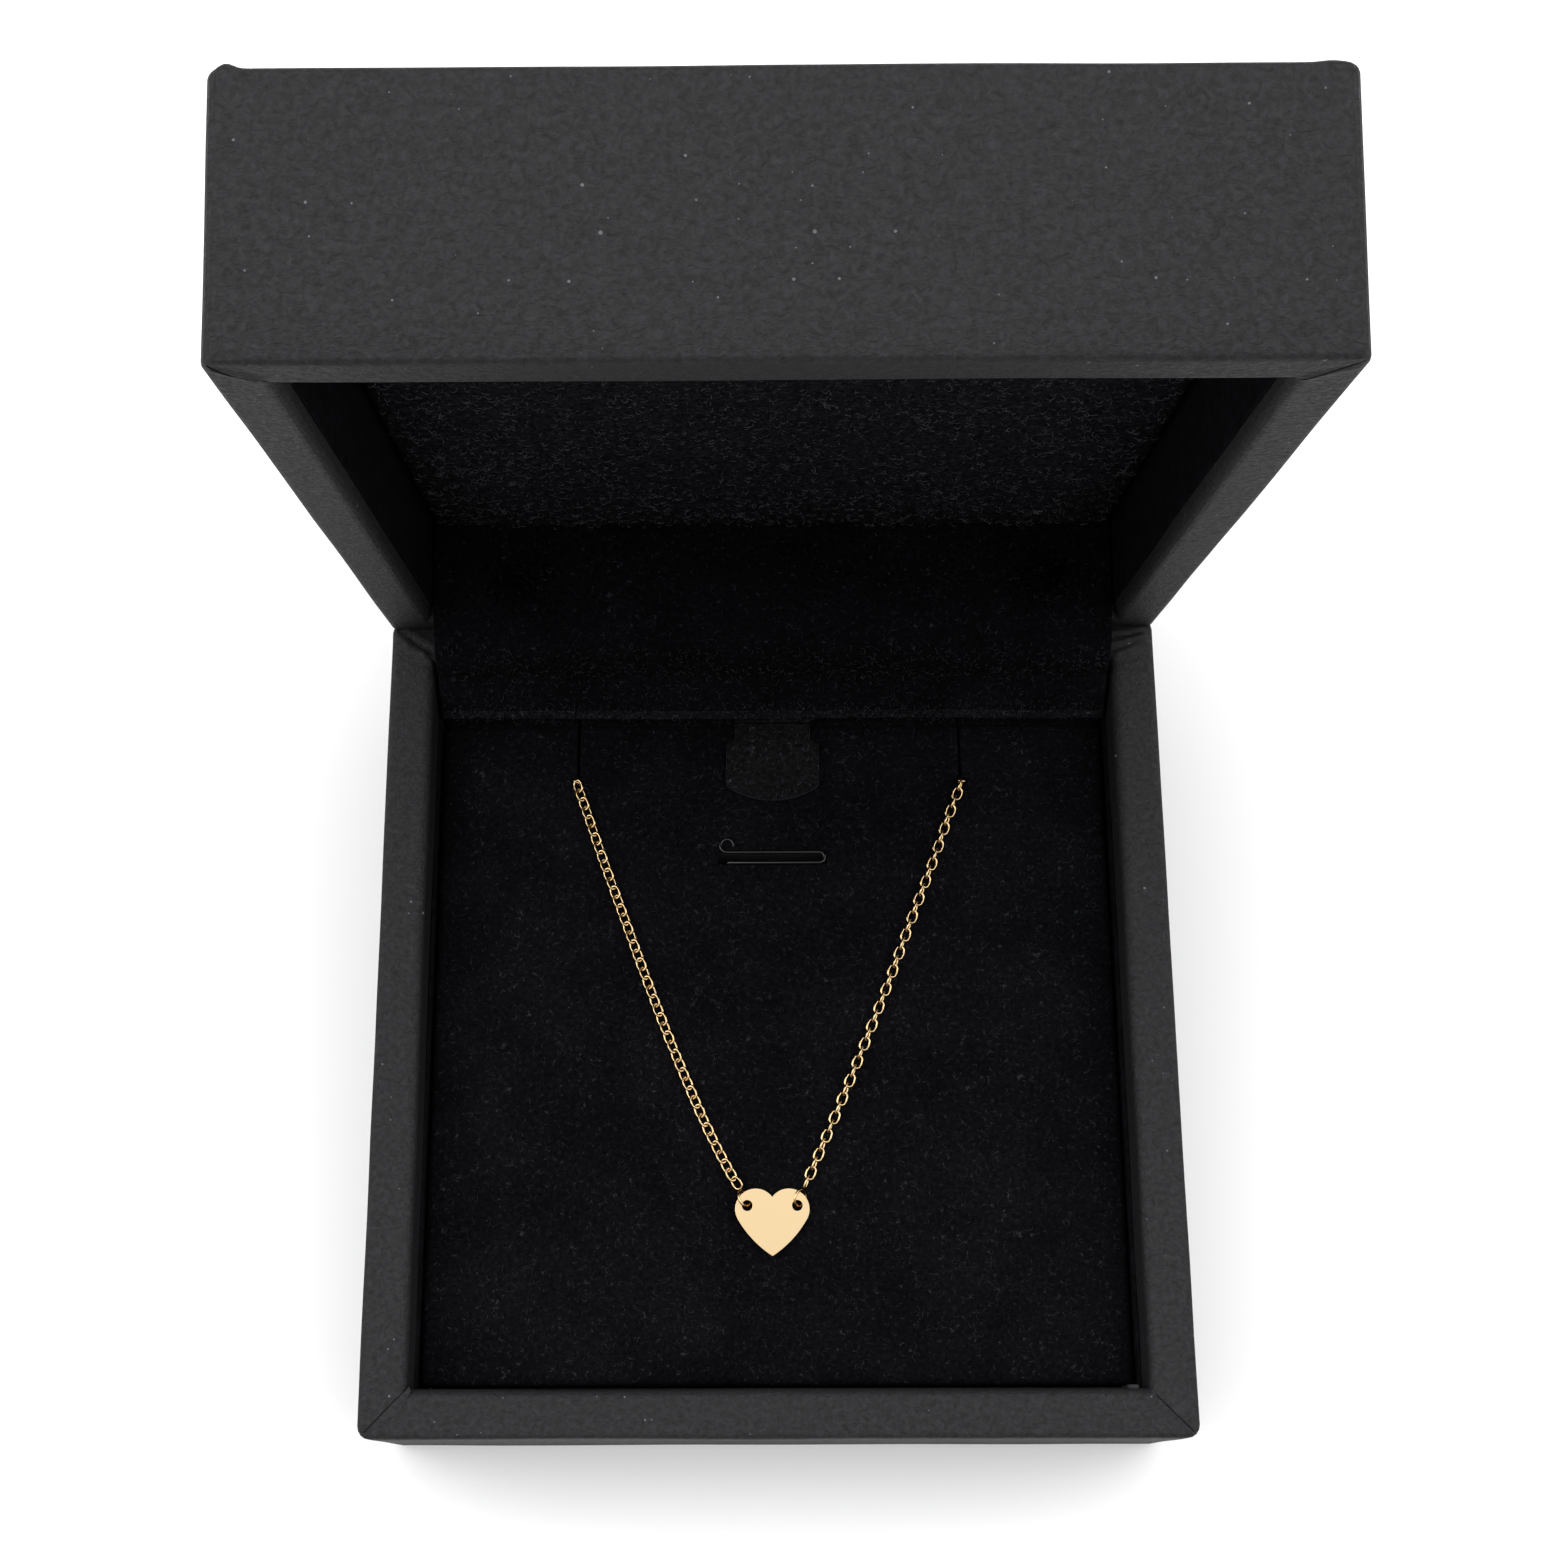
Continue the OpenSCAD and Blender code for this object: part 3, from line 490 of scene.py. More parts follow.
def hinge_cutters(height):
    """The room for the hinge in a tray's back wall: the bevelled stop, a slot over the leaf and
    a round trough."""
    bevel = -open_angle / 2 - 1
    axis_z = height + hinge_rise
    leaf_x, knuckle_r = 28.3, 1.4
    yield turned_block("stop_bevel", (-60, 0, 0), (60, 6, 6), bevel, (0, hinge_y, axis_z))
    yield block("hinge_slot", (-leaf_x, 38.0, height - 0.95), (leaf_x, hinge_y, height + 2))
    yield rod(knuckle_r, 2 * leaf_x, (0, hinge_y, axis_z), 48, (0, math.pi / 2, 0))


def cut(piece, cutter):
    """Cuts one solid out of another and throws the cutter away."""
    press(piece, "BOOLEAN", object=cutter, operation="DIFFERENCE", solver="EXACT")
    bpy.data.objects.remove(cutter)


def wrap(name, height, closed, mitres, score, uneven, folds):
    """A tray's film, with the room for the hinge, its mitres scored and its folds raised."""
    piece = wrapped_walls(name, height, closed)
    for cutter in hinge_cutters(height):
        cut(piece, cutter)
    for line in mitres:
        cut(piece, knife(height, *line, *score))
    slice_film(piece)
    ruffle(piece, *uneven)
    crease(piece, height, folds)
    return piece


def bent(finish, place, amount, scale, detail):
    """A place shifted by a coloured noise, so that the lines of a pattern on it wander."""
    shift = add(finish, "ShaderNodeTexNoise", {"Vector": place, "Scale": scale, "Detail": detail})
    values = {0: amount, 4: place, 5: shift.outputs["Color"]}
    return add(finish, "ShaderNodeMix", values, data_type="VECTOR").outputs[1]


def mixed(finish, share, first, second):
    """A mix of two colours by the second one's share."""
    values = {0: share, 6: first, 7: second}
    return add(finish, "ShaderNodeMix", values, data_type="RGBA").outputs[2]


# Leatherette: a thin PU film embossed with a fine crinkled grain and faint lines along the roll.
# It gives a soft grey sheen at a low angle, and pale specks where the film is scuffed.
leatherette = new_finish(
    "black_leatherette_film", IOR=1.5, Specular_IOR_Level=0.31
)
film_place = place_of(leatherette)
# all the lines of the grain are bent by a noise of 1.4 mm
bent_place = bent(leatherette, film_place, 0.0015, 700.0, 2.0)
# fine raised lines between cells of 0.8 mm, drawn out along the roll
cell_place = drawn_out(leatherette, bent_place, (750, 1450, 1450), 0.12)
cells = add(
    leatherette,
    "ShaderNodeTexVoronoi",
    {"Vector": cell_place, "Scale": 1.0},
    feature="DISTANCE_TO_EDGE",
).outputs["Distance"]
ridges = spread(leatherette, cells, 0.3, 0.0, 0.0, 0.16, interpolation_type="SMOOTHSTEP")
# wisps 1.6 mm long and 0.4 mm wide, and a pebble of 0.3 mm
wisp_place = drawn_out(leatherette, bent_place, (620, 2600, 2600), 0.2)
wisps = clouds(leatherette, wisp_place, 1.0, 3.0, 0.6)
pebble = clouds(leatherette, film_place, 3200.0, 2.0, 0.6)
film_height = combine(leatherette, "ADD", combine(leatherette, "ADD", ridges, wisps), pebble)
emboss(leatherette, film_height, 0.6, 0.00012)
film_tone = clouds(leatherette, bent_place, 1700.0, 4.0, 0.7)
film_colour = ramp(leatherette, film_tone, (0.3, linear("#0F0F11")), (0.75, linear("#212124")))
# pale specks of 0.15 mm where the film is scuffed, in some cells of 1.2 mm
scuffs = add(leatherette, "ShaderNodeTexVoronoi", {"Vector": film_place, "Scale": 800.0})
speck_size = spread(leatherette, scuffs.outputs["Color"], 0.0, 0.13, 0.55, 0.9)
speck_mask = combine(leatherette, "GREATER_THAN", speck_size, scuffs.outputs["Distance"])
film_specks = mixed(leatherette, speck_mask, film_colour, linear("#5C5C60"))
link(leatherette, film_specks, "Base Color")
gloss(leatherette, film_tone, 0.78, 0.56, 0.3, 0.7)

# the mitres at the front, where the two turned-in edges meet
base_mitres = [
    (-39.3, -41.2, -40.9, -42.8), (-40.9, -42.8, -42.8, -44.8), (-42.8, -44.8, -44.2, -46.3),
    (39.3, -41.2, 41.2, -43.3), (41.2, -43.3, 44.3, -46.4),
]
# by the hinge the film is gathered: folds run in from both outer corners
base_folds = [
    (-44.6, 45.4, -43.1, 43.9, 0.25, 0.8), (-43.1, 43.9, -41.2, 42.7, 0.3, 0.8),
    (-41.2, 42.7, -39.8, 41.6, 0.3, 0.8), (-43.6, 46.2, -40.2, 43.9, 0.2, 0.7),
    (39.9, 43.6, 43.8, 44.6, 0.4, 0.7), (40.2, 42.2, 44.2, 43.8, 0.35, 0.7),
    (39.8, 45.0, 43.6, 45.6, 0.3, 0.6), (40.0, -43.2, 41.8, -44.1, 0.16, 0.5),
]
base_uneven = (0.10, 14, 1)
base_skin = wrap(
    "base_wrap_film", base_height, False, base_mitres, (0.17, 0.24), base_uneven, base_folds
)
settle(base_skin, leatherette, 50)
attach(base_skin, "base")
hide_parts("base_wrap")


def round_edges(piece, width, degrees, segments=2):
    """Rounds a piece's edges that are sharper than an angle."""
    limit = {"limit_method": "ANGLE", "angle_limit": math.radians(degrees)}
    press(piece, "BEVEL", width=width, segments=segments, **limit)


def flat_piece(name, outline, low_z, high_z):
    """A flat piece cut to an outline, in millimetres."""
    clear()
    bpy.ops.mesh.primitive_circle_add(vertices=len(outline), radius=1, fill_type="NGON")
    piece = bpy.context.object
    piece.name = name
    for v, (x, y) in zip(piece.data.vertices, outline):
        v.co = Vector((x, y, low_z))
    edit(piece)
    bpy.ops.mesh.select_all(action="SELECT")
    bpy.ops.mesh.extrude_region_move(
        TRANSFORM_OT_translate={"value": (0, 0, high_z - low_z)}
    )
    bpy.ops.mesh.select_all(action="SELECT")
    bpy.ops.mesh.normals_make_consistent(inside=False)
    clear()
    return piece


# the spare film of the left mitre, folded over as a narrow leaf
fold_outline = [
    (-39.5, -41.5), (-41.0, -43.05), (-42.9, -45.05), (-44.1, -46.3),
    (-43.4, -46.1), (-42.3, -45.6), (-41.2, -44.8), (-40.3, -43.9), (-39.7, -43.0), (-39.3, -42.1),
]
fold = flat_piece("base_corner_fold", fold_outline, 23.8, 24.05)
round_edges(fold, 0.07, math.degrees(0.9))
for v in fold.data.vertices:
    v.co.z += wave(Vector((v.co.x, v.co.y, base_height)), *base_uneven)
settle(fold, leatherette, 40)
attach(fold, "base")

# the cut end of the front turn-in, standing off the wall beside the right mitre
nub = block("base_turn_in_end", (37.5, -41.95, 19.0), (38.8, -41.4, 23.55))
round_edges(nub, 0.2, 30, 3)
settle(nub, leatherette, 50)
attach(nub, "base")

# ----------------------------------------------------------
# Bottom cover: a sheet of flocked paper glued over the wrap's turned-in edges.
# Flock paper: short black fibres on paper, dull, with a faint cloudy nap.
flock = new_finish("black_flock_paper", Roughness=0.95, Specular_IOR_Level=0.02)
nap = clouds(flock, place_of(flock), 900.0, 6.0)
tint(flock, nap, (0.35, "#0B0B0C"), (0.8, "#17171B"))
refinish("base_bottom_cover", flock)

# ----------------------------------------------------------
# Linings: four strips of the flocked paper glued on the inner walls of each tray, their upper
# edges a little uneven.
lid_place = (
    Matrix.Translation((0, hinge_y, hinge_z))
    @ Matrix.Rotation(math.radians(-open_angle), 4, "X")
    @ Matrix.Translation((0, -hinge_y, hinge_rise + lid_height))
    @ Matrix.Diagonal((1, 1, -1, 1))
)
inner_x = tray_width / 2 - wall
inner_y = tray_depth / 2 - wall
lining_t = 0.3
hinge_side_drop = 11.15


def lining(name, height, drop, seed):
    """The four strips of one tray's lining, as one piece, in the tray's own frame."""
    strips = []
    for side, far_x, far_y, low in (
        ("left", -inner_x + lining_t, inner_y, drop),
        ("right", inner_x, inner_y, drop),
        ("front", inner_x - lining_t, -inner_y + lining_t, drop),
        ("back", inner_x - lining_t, inner_y, hinge_side_drop),
    ):
        near_x = far_x - lining_t if side in ("left", "right") else -far_x
        near_y = -inner_y if side in ("left", "right") else far_y - lining_t
        top = height - low
        strip = block(f"{name}_{side}", (near_x, near_y, tray_floor), (far_x, far_y, top))
        edit(strip)
        for axis in (0, 1):
            slice_at(strip, axis, steps(-39, 39, 3.0))
        clear()
        for v in strip.data.vertices:
            if v.co.z > top - 0.01:
                v.co.z += wave(v.co, 0.12, 6, seed)
        round_edges(strip, 0.08, 30)
        strips.append(strip)
    clear()
    for strip in strips:
        strip.select_set(True)
    bpy.context.view_layer.objects.active = strips[0]
    bpy.ops.object.join()
    strips[0].name = name
    return strips[0]


base_lining = lining("base_lining_paper", base_height, 4.65, 21)
settle(base_lining, flock, 50)
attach(base_lining, "base")
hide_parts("base_lining")

lid_lining = lining("lid_lining_paper", lid_height, 1.7, 23)
settle(lid_lining, flock, 50, lid_place)
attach(lid_lining, "lid")
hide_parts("lid_lining")

# ----------------------------------------------------------
# Lid wrap: the same film, closed over the top, drawn down the walls and turned in at the rim.
lid_mitres = [
    (-39.3, -41.3, -41.0, -43.4), (-41.0, -43.4, -42.6, -44.4), (-42.6, -44.4, -44.3, -46.4),
    (39.3, -41.3, 41.6, -43.4), (41.6, -43.4, 44.4, -46.3),
]
lid_folds = [(-44.0, -45.6, -41.2, -43.6, 0.22, 0.8), (44.0, -45.0, 40.6, -42.4, 0.2, 0.8)]
lid_skin = wrap(
    "lid_wrap_film", lid_height, True, lid_mitres, (0.2, 0.25), (0.12, 16, 3), lid_folds
)
# the film folded over the top corners stands out in two small lumps: place, height and width
corner_lumps = [(-43.3, 0.42, 0.75), (42.6, 0.15, 1.1)]
for v in lid_skin.data.vertices:
    if v.co.z < 1.6 and v.co.y < -45.5:
        for lump_x, lump_height, lump_width in corner_lumps:
            v.co.z -= lump_height * math.exp(-(((v.co.x - lump_x) / lump_width) ** 2))
settle(lid_skin, leatherette, 50, lid_place)
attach(lid_skin, "lid")
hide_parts("lid_wrap")

# ----------------------------------------------------------
# Lid pad: a foam block under a cover of black fleece, pushed into the lid and held by its edges.
# Fleece: short curly fibres, mostly black, with lighter curls that catch the light.
fleece = new_finish("black_fleece", Roughness=1.0, Specular_IOR_Level=0.02)
curl_place = bent(fleece, place_of(fleece), 0.0016, 900.0, 2.0)
curls = clouds(fleece, curl_place, 2100.0, 3.0, 0.65)
tint(fleece, curls, (0.42, "#08080A"), (0.78, "#2A2A2E"))
emboss(fleece, curls, 0.8, 0.0003)

# Polyether foam with open cells of about 0.4 mm, its colour darkened to nearly black as painted
# shade, so that its cut faces in the keeper's slot and the slits read dark.
foam = new_finish("polyether_foam_painted_shade", Roughness=0.95)
foam_cells = add(foam, "ShaderNodeTexVoronoi", {"Vector": place_of(foam), "Scale": 2400.0})
# painted shade: near-black tones that stand in for the shade inside the slot and slits
tint(foam, foam_cells.outputs["Distance"], (0.0, "#0B0B0C"), (1.0, "#1C1C1E"))


def soft_block(name, low, high, edge, swell, seed):
    """A foam or covered block: rounded edges, sides that pull in, and a slightly uneven face."""
    piece = block(name, low, high)
    edit(piece)
    bpy.ops.mesh.select_mode(type="EDGE")
    bpy.ops.mesh.select_all(action="SELECT")
    bpy.ops.mesh.bevel(offset=edge, segments=4, affect="EDGES")
    for axis in (0, 1):
        slice_at(piece, axis, steps(low[axis] + 1.5, high[axis] - 1.5, 3.0))
    slice_at(piece, 2, steps(low[2] + edge, high[2] - edge, 2.0))
    clear()
    middle = [(a + b) / 2 for a, b in zip(low, high)]
    for v in piece.data.vertices:
        u = (v.co.x - middle[0]) / (high[0] - middle[0])
        w = (v.co.y - middle[1]) / (high[1] - middle[1])
        if v.co.z > middle[2]:
            v.co.z -= swell * (max(abs(u), abs(w)) ** 6)
    ruffle(piece, 0.06, 9, seed)
    return piece


lid_foam = soft_block("lid_pad_foam_block", (-38.3, -40.3, 4.3), (38.3, 38.6, 12.9), 0.8, 0.3, 5)
settle(lid_foam, foam, 35, lid_place)
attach(lid_foam, "lid")
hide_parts("lid_pad_foam")


def cover_over(name, low, high, edge, thickness, swell, seed):
    """A cloth cover: the shell of a soft block, open underneath."""
    piece = soft_block(name, low, high, edge, swell, seed)
    edit(piece)
    take(piece, "FACE", lambda f: f.calc_center_median().z < low[2] + edge * 0.9)
    bpy.ops.mesh.delete(type="FACE")
    press(piece, "SOLIDIFY", thickness=thickness, offset=-1)
    return piece


lid_cover = cover_over(
    "lid_pad_fleece", (-39.2, -41.2, 3.1), (39.2, 39.5, 13.8), 1.4, 0.6, 0.35, 7
)
settle(lid_cover, fleece, 60, lid_place)
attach(lid_cover, "lid")
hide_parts("lid_pad_cover")


def mesh_piece(name, corners, faces):
    """A piece from its corners and its faces."""
    data = bpy.data.meshes.new(name)
    data.from_pydata([tuple(corner) for corner in corners], [], faces)
    data.update()
    piece = bpy.data.objects.new(name, data)
    scene.collection.objects.link(piece)
    return piece


def lint(name, count, spot, length, thick, seed):
    """Short curled fibres that lie on a cloth: each is a bent three-sided hair."""
    chance = random.Random(seed)
    corners, faces = [], []
    for _ in range(count):
        place, up = spot(chance)
        way = up.orthogonal().normalized()
        way.rotate(Matrix.Rotation(chance.uniform(0, 2 * math.pi), 3, up))
        size = length * chance.uniform(0.5, 1.4)
        curl = chance.uniform(-2.4, 2.4)
        rise = chance.uniform(0.05, 0.3) * size
        start = len(corners)
        for k in range(5):
            ahead = way.copy()
            ahead.rotate(Matrix.Rotation(curl * (k / 4 - 0.5), 3, up))
            place = place + ahead * size / 5
            centre = place + up * (thick + rise * math.sin(math.pi * k / 4))
            across = ahead.cross(up)
            for i in range(3):
                turn = 2 * math.pi * i / 3
                corners.append(centre + (up * math.cos(turn) + across * math.sin(turn)) * thick)
        for k in range(4):
            for i in range(3):
                a, b = start + 3 * k + i, start + 3 * k + (i + 1) % 3
                faces.append((a, b, b + 3, a + 3))
        faces += [(start, start + 2, start + 1), (start + 12, start + 13, start + 14)]
    return mesh_piece(name, corners, faces)


# Loose curls of the fleece: grey polyester fibre, paler where it catches the light.
curl_fibre = new_finish("grey_polyester_fibre", Roughness=0.8)
fibre_tone = clouds(curl_fibre, place_of(curl_fibre), 500.0)
tint(curl_fibre, fibre_tone, (0.35, "#222226"), (0.65, "#56565C"))


def on_lid_pad(chance):
    """A point on the fleece, and the way up from it."""
    return Vector((chance.uniform(-38, 38), chance.uniform(-40, 38.3), 13.72)), Vector((0, 0, 1))


lid_curls = lint("lid_pad_curls", 5200, on_lid_pad, 0.9, 0.022, 31)
settle(lid_curls, curl_fibre, 80, lid_place)
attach(lid_curls, "lid")

# ----------------------------------------------------------
# Hinge strip: velvet laminated on thin card, glued into the lid behind its pad, bent over the
# hinge, and left free at its lower edge, which stands over the back of the pad.
# Velvet: dense black pile with almost no shine, with a painted sheen in clouds where the pile leans,
# and strewn with fine curled fibres about 0.6 mm long that catch the light.
def velvet_cloth(name, deep, pale, fibre):
    """A velvet finish: the colours of its pile's depth, of its tips and of its loose fibres."""
    cloth = new_finish(
        name, Roughness=1.0, Sheen_Roughness=0.45, Specular_IOR_Level=0.01, Sheen_Weight=0.005
    )
    place = place_of(cloth)
    pile = clouds(cloth, place, 1900.0, 4.0, 0.7)
    pile_colour = ramp(cloth, pile, (0.38, linear(deep)), (0.8, linear(pale)))
    # the fibres: the lines where a bent noise of 0.9 mm crosses its middle, broken up by a mask
    strands = clouds(cloth, bent(cloth, place, 0.0011, 1400.0, 1.0), 1150.0, 1.0)
    gap = combine(cloth, "ABSOLUTE", combine(cloth, "SUBTRACT", strands, 0.5))
    line = spread(cloth, gap, 1.0, 0.0, 0.0, 0.02)
    kept = spread(cloth, clouds(cloth, place, 1500.0), 0.0, 1.0, 0.47, 0.62)
    fibres = combine(cloth, "MULTIPLY", line, kept)
    strewn = mixed(cloth, fibres, pile_colour, linear(fibre))
    # painted sheen: clouds of 7 mm, lighter and darker where the pile leans to or from the light
    painted_pile_sheen = spread(cloth, clouds(cloth, place, 140.0), 0.78, 1.2, 0.3, 0.7)
    values = {0: strewn, "Scale": painted_pile_sheen}
    shaded = add(cloth, "ShaderNodeVectorMath", values, operation="SCALE")
    link(cloth, shaded.outputs["Vector"], "Base Color")
    emboss(cloth, pile, 0.5, 0.0001)
    return cloth


velvet = velvet_cloth("black_velvet_pile", "#08080A", "#131316", "#2A2B2F")
# where the velvet is cut, its pale backing and frayed pile show as a thin line
cut_velvet = velvet_cloth("cut_velvet_edge", "#1C1D20", "#303136", "#505258")
frayed_velvet = velvet_cloth("frayed_velvet_hem", "#0E0E10", "#232326", "#44444A")


def arc(x, y, radius, angles):
    """Points round a middle, at angles in degrees."""
    turns = [math.radians(a) for a in angles]
    return [(x + radius * math.cos(turn), y + radius * math.sin(turn)) for turn in turns]


def round_hinge(foot, radius, reaches):
    """A line in the Y-Z plane: from its foot, round the hinge at a radius, on into the lid."""
    line = foot + arc(hinge_y, hinge_z, radius, [180 - i * open_angle / 12 for i in range(13)])
    end_y, end_z = line[-1]
    lean = math.radians(open_angle)
    return line + [
        (end_y + reach * math.sin(lean), end_z + reach * math.cos(lean)) for reach in reaches
    ]


def band(name, line, half_width):
    """An open piece: a flat band along a line in the Y-Z plane."""
    clear()
    bpy.ops.mesh.primitive_plane_add(size=1, location=(0, 0, 0))
    piece = bpy.context.object
    piece.name = name
    edit(piece)
    take(piece, "VERT", lambda v: v.co.y > 0)
    bpy.ops.mesh.delete(type="VERT")
    clear()
    for v in piece.data.vertices:
        v.co = Vector((math.copysign(half_width, v.co.x), *line[0]))
    edit(piece)
    bpy.ops.mesh.select_mode(type="EDGE")
    bpy.ops.mesh.select_all(action="SELECT")
    for (y0, z0), (y1, z1) in zip(line, line[1:]):
        bpy.ops.mesh.extrude_region_move(TRANSFORM_OT_translate={"value": (0, y1 - y0, z1 - z0)})
    return piece


# the strip's middle line, from its lower edge, round the hinge, into the lid
strip_foot = [(36.2, 19.7), (36.95, 20.7), (37.4, 21.3), (38.9, 23.1)]
strip_line = round_hinge(strip_foot, 5.6, (3.0, 6.0, 9.0, 12.0, 13.8))
strip_t = 0.8
strip_end_x = 39.3
strip = band("hinge_strip_velvet", strip_line, strip_end_x)
slice_at(strip, 0, steps(-strip_end_x, strip_end_x, 3.0))
clear()
for v in strip.data.vertices:
    low_part = max(0.0, min(1.0, (24 - v.co.z) / 4.5))
    v.co.y += low_part * 0.35 * noise.noise(Vector((v.co.x / 22, 3.1, 0)))
    v.co.z += low_part * 0.18 * noise.noise(Vector((v.co.x / 15, 7.7, 0)))
press(strip, "SOLIDIFY", thickness=strip_t, offset=0)
round_edges(strip, 0.22, 50)
# its lower 1 mm and its ends are frayed where it was cut
frayed = (frayed_velvet, lambda f: abs(f.normal.x) > 0.6 or f.center.z < 20.7)
settle(strip, velvet, 60, edge=frayed)
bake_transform(strip)
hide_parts("hinge_strip")

# ----------------------------------------------------------
# Snap spring: a bowed strip of spring steel 0.4 mm thick, held to both leaves of the hinge. It
# bends round the pin when the lid turns, so, as the strip is, it is drawn bent round the hinge.
spring_r = 4.7
spring_low_z = 19.15
spring_end_x = 7.0
spring_t = 0.4
spring_foot = [(hinge_y - spring_r, spring_low_z + i) for i in range(5)]
spring_line = round_hinge(spring_foot, spring_r, (1, 2, 3, 4, 5))
spring = band("snap_spring_bow", spring_line, spring_end_x)
press(spring, "SOLIDIFY", thickness=spring_t, offset=0)
round_edges(spring, 0.06, 50)
settle(spring, drawn_steel, 40)
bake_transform(spring)
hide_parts("snap_spring")

# ----------------------------------------------------------
# Lint on the velvet: fine grey fibres that cling to the strip, thicker along its lower edge.
velvet_lint = new_finish("grey_lint", Roughness=0.85)
lint_tone = clouds(velvet_lint, place_of(velvet_lint), 400.0)
tint(velvet_lint, lint_tone, (0.35, "#18181B"), (0.7, "#3A3B40"))
outer_parts = 11


def on_strip(chance):
    """A point on the strip's outer face, most often near the lower edge, and the way up from it."""
    part = int(outer_parts * chance.random() ** 1.8)
    (y0, z0), (y1, z1) = strip_line[part], strip_line[part + 1]
    t = chance.random()
    along = Vector((0, y1 - y0, z1 - z0)).normalized()
    up = Vector((1, 0, 0)).cross(along)
    place = Vector((chance.uniform(-38.8, 38.8), y0 + (y1 - y0) * t, z0 + (z1 - z0) * t))
    return place + up * (strip_t / 2), up


strip_lint = lint("strip_lint", 1500, on_strip, 0.6, 0.016, 37)
settle(strip_lint, velvet_lint, 80)
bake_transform(strip_lint)

# ----------------------------------------------------------
# Pad in the base: foam on card under a velvet cover, with two slits for the chain that run to
# its back edge and a slot for the wire keeper. It lifts out on its ribbon tab.
pad_top = 18.5
slit_y = 28.7
slit_places = (-23.1, 22.3)
slit_w = 0.4
slit_hole_r = 0.75
groove_y = 35.9
groove_half = 0.8
groove_depth = 1.0


def pad_cutters():
    """Blades for the two slits, each with the small hole at its end, and for the keeper's slot."""
    low_z, high_z = 9, 20
    for x in slit_places:
        yield block("slit", (x - slit_w / 2, slit_y, low_z), (x + slit_w / 2, 45, high_z))
        yield rod(slit_hole_r, high_z - low_z, (x, slit_y, (low_z + high_z) / 2), 24)
    yield block("keeper_slot", (-6.5, 18.3, 12.4), (6.5, 19.9, 20.0))


def strip_groove(piece):
    """The groove that the hinge strip's lower edge has pressed into the top of the pad."""
    edit(piece)
    slice_at(piece, 1, steps(groove_y - 1, groove_y + 1, 0.2))
    clear()
    for v in piece.data.vertices:
        across = abs(v.co.y - groove_y) / groove_half
        if v.co.z > 16.8 and across < 1:
            v.co.z -= groove_depth * (0.5 + 0.5 * math.cos(math.pi * across))


pad_foam = soft_block("pad_foam_block", (-38.5, -40.5, 11.65), (38.5, 39.9, 17.75), 0.6, 0.1, 11)
for cutter in pad_cutters():
    cut(pad_foam, cutter)
strip_groove(pad_foam)
settle(pad_foam, foam, 35)
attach(pad_foam, "insert")
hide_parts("pad_foam")

pad_cover = cover_over(
    "pad_velvet_cover", (-39.2, -41.2, 10.1), (39.2, 40.6, pad_top), 0.8, 0.5, 0.15, 13
)
for cutter in pad_cutters():
    cut(pad_cover, cutter)
# the part between the slits has sunk a little along them
for v in pad_cover.data.vertices:
    for x in slit_places:
        inside = (x - v.co.x) * math.copysign(1, x)
        if v.co.z > 17.6 and v.co.y > slit_y + 0.6 and 0 < inside < 0.4:
            v.co.z -= 0.2
strip_groove(pad_cover)
settle(pad_cover, velvet, 50)
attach(pad_cover, "insert")
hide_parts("pad_cover")


def on_pad(chance):
    """A point on the pad, and the way up from it."""
    return Vector((chance.uniform(-38, 38), chance.uniform(-40, 39), pad_top)), Vector((0, 0, 1))


pad_lint = lint("pad_lint", 1500, on_pad, 0.6, 0.016, 41)
settle(pad_lint, velvet_lint, 80)
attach(pad_lint, "insert")

# ----------------------------------------------------------
# Pull tab: a tongue of velvet ribbon, glued under the hinge strip, with a round free end.
neck_x = 4.45
tab_x = 5.5
tab_end_r = 9.3
tab_side = [(-neck_x, 0.0), (-neck_x, -2.0), (-tab_x, -2.6), (-tab_x, -7.7)]
tab_end = []
for i in range(1, 16):
    x = -tab_x + 2 * tab_x * i / 16
    tab_end.append((x, -9.6 + tab_end_r - math.sqrt(tab_end_r**2 - x**2)))
tab_outline = tab_side + tab_end + [(-x, y) for x, y in reversed(tab_side)]

# Ribbon: a thinner velvet than the pad's, worn paler by fingers.
ribbon = velvet_cloth("black_velvet_ribbon", "#0C0C0D", "#1F1F21", "#3C3C40")
tab = flat_piece("pull_tab_ribbon", [(x, 35.6 + y) for x, y in tab_outline], 18.72, 19.36)
round_edges(tab, 0.18, math.degrees(0.9))
settle(tab, ribbon, 50, edge=(cut_velvet, lambda f: abs(f.normal.z) < 0.8))
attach(tab, "tab")
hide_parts("pull_tab")

anchor = block("tab_anchor_ribbon", (-neck_x, 35.8, 18.5), (neck_x, 39.8, 19.2))
round_edges(anchor, 0.12, 30)
settle(anchor, ribbon, 50)
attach(anchor, "insert")
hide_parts("tab_anchor")

# ----------------------------------------------------------
# Keeper: one black lacquered wire, bent to a hairpin with an eye, its end pushed into the foam.
# Black stoving lacquer on wire: smooth and glossy, with fine orange peel.
black_lacquer = new_finish(
    "black_lacquered_wire", Base_Color=linear("#0C0C0D"), Roughness=0.18
)
peel = clouds(black_lacquer, place_of(black_lacquer), 4000.0)
emboss(black_lacquer, peel, 0.3, 0.00002)


def wire(name, points, radius):
    """A round wire through its points, as a mesh, in millimetres."""
    data = bpy.data.curves.new(name, "CURVE")
    data.dimensions = "3D"
    data.bevel_depth = radius
    data.bevel_resolution = 3
    data.use_fill_caps = True
    line = data.splines.new("POLY")
    line.points.add(len(points) - 1)
    for point, place in zip(line.points, points):
        point.co = (*place, 1.0)
    piece = bpy.data.objects.new(name, data)
    scene.collection.objects.link(piece)
    pick(piece)
    bpy.ops.object.convert(target="MESH")
    return bpy.context.object


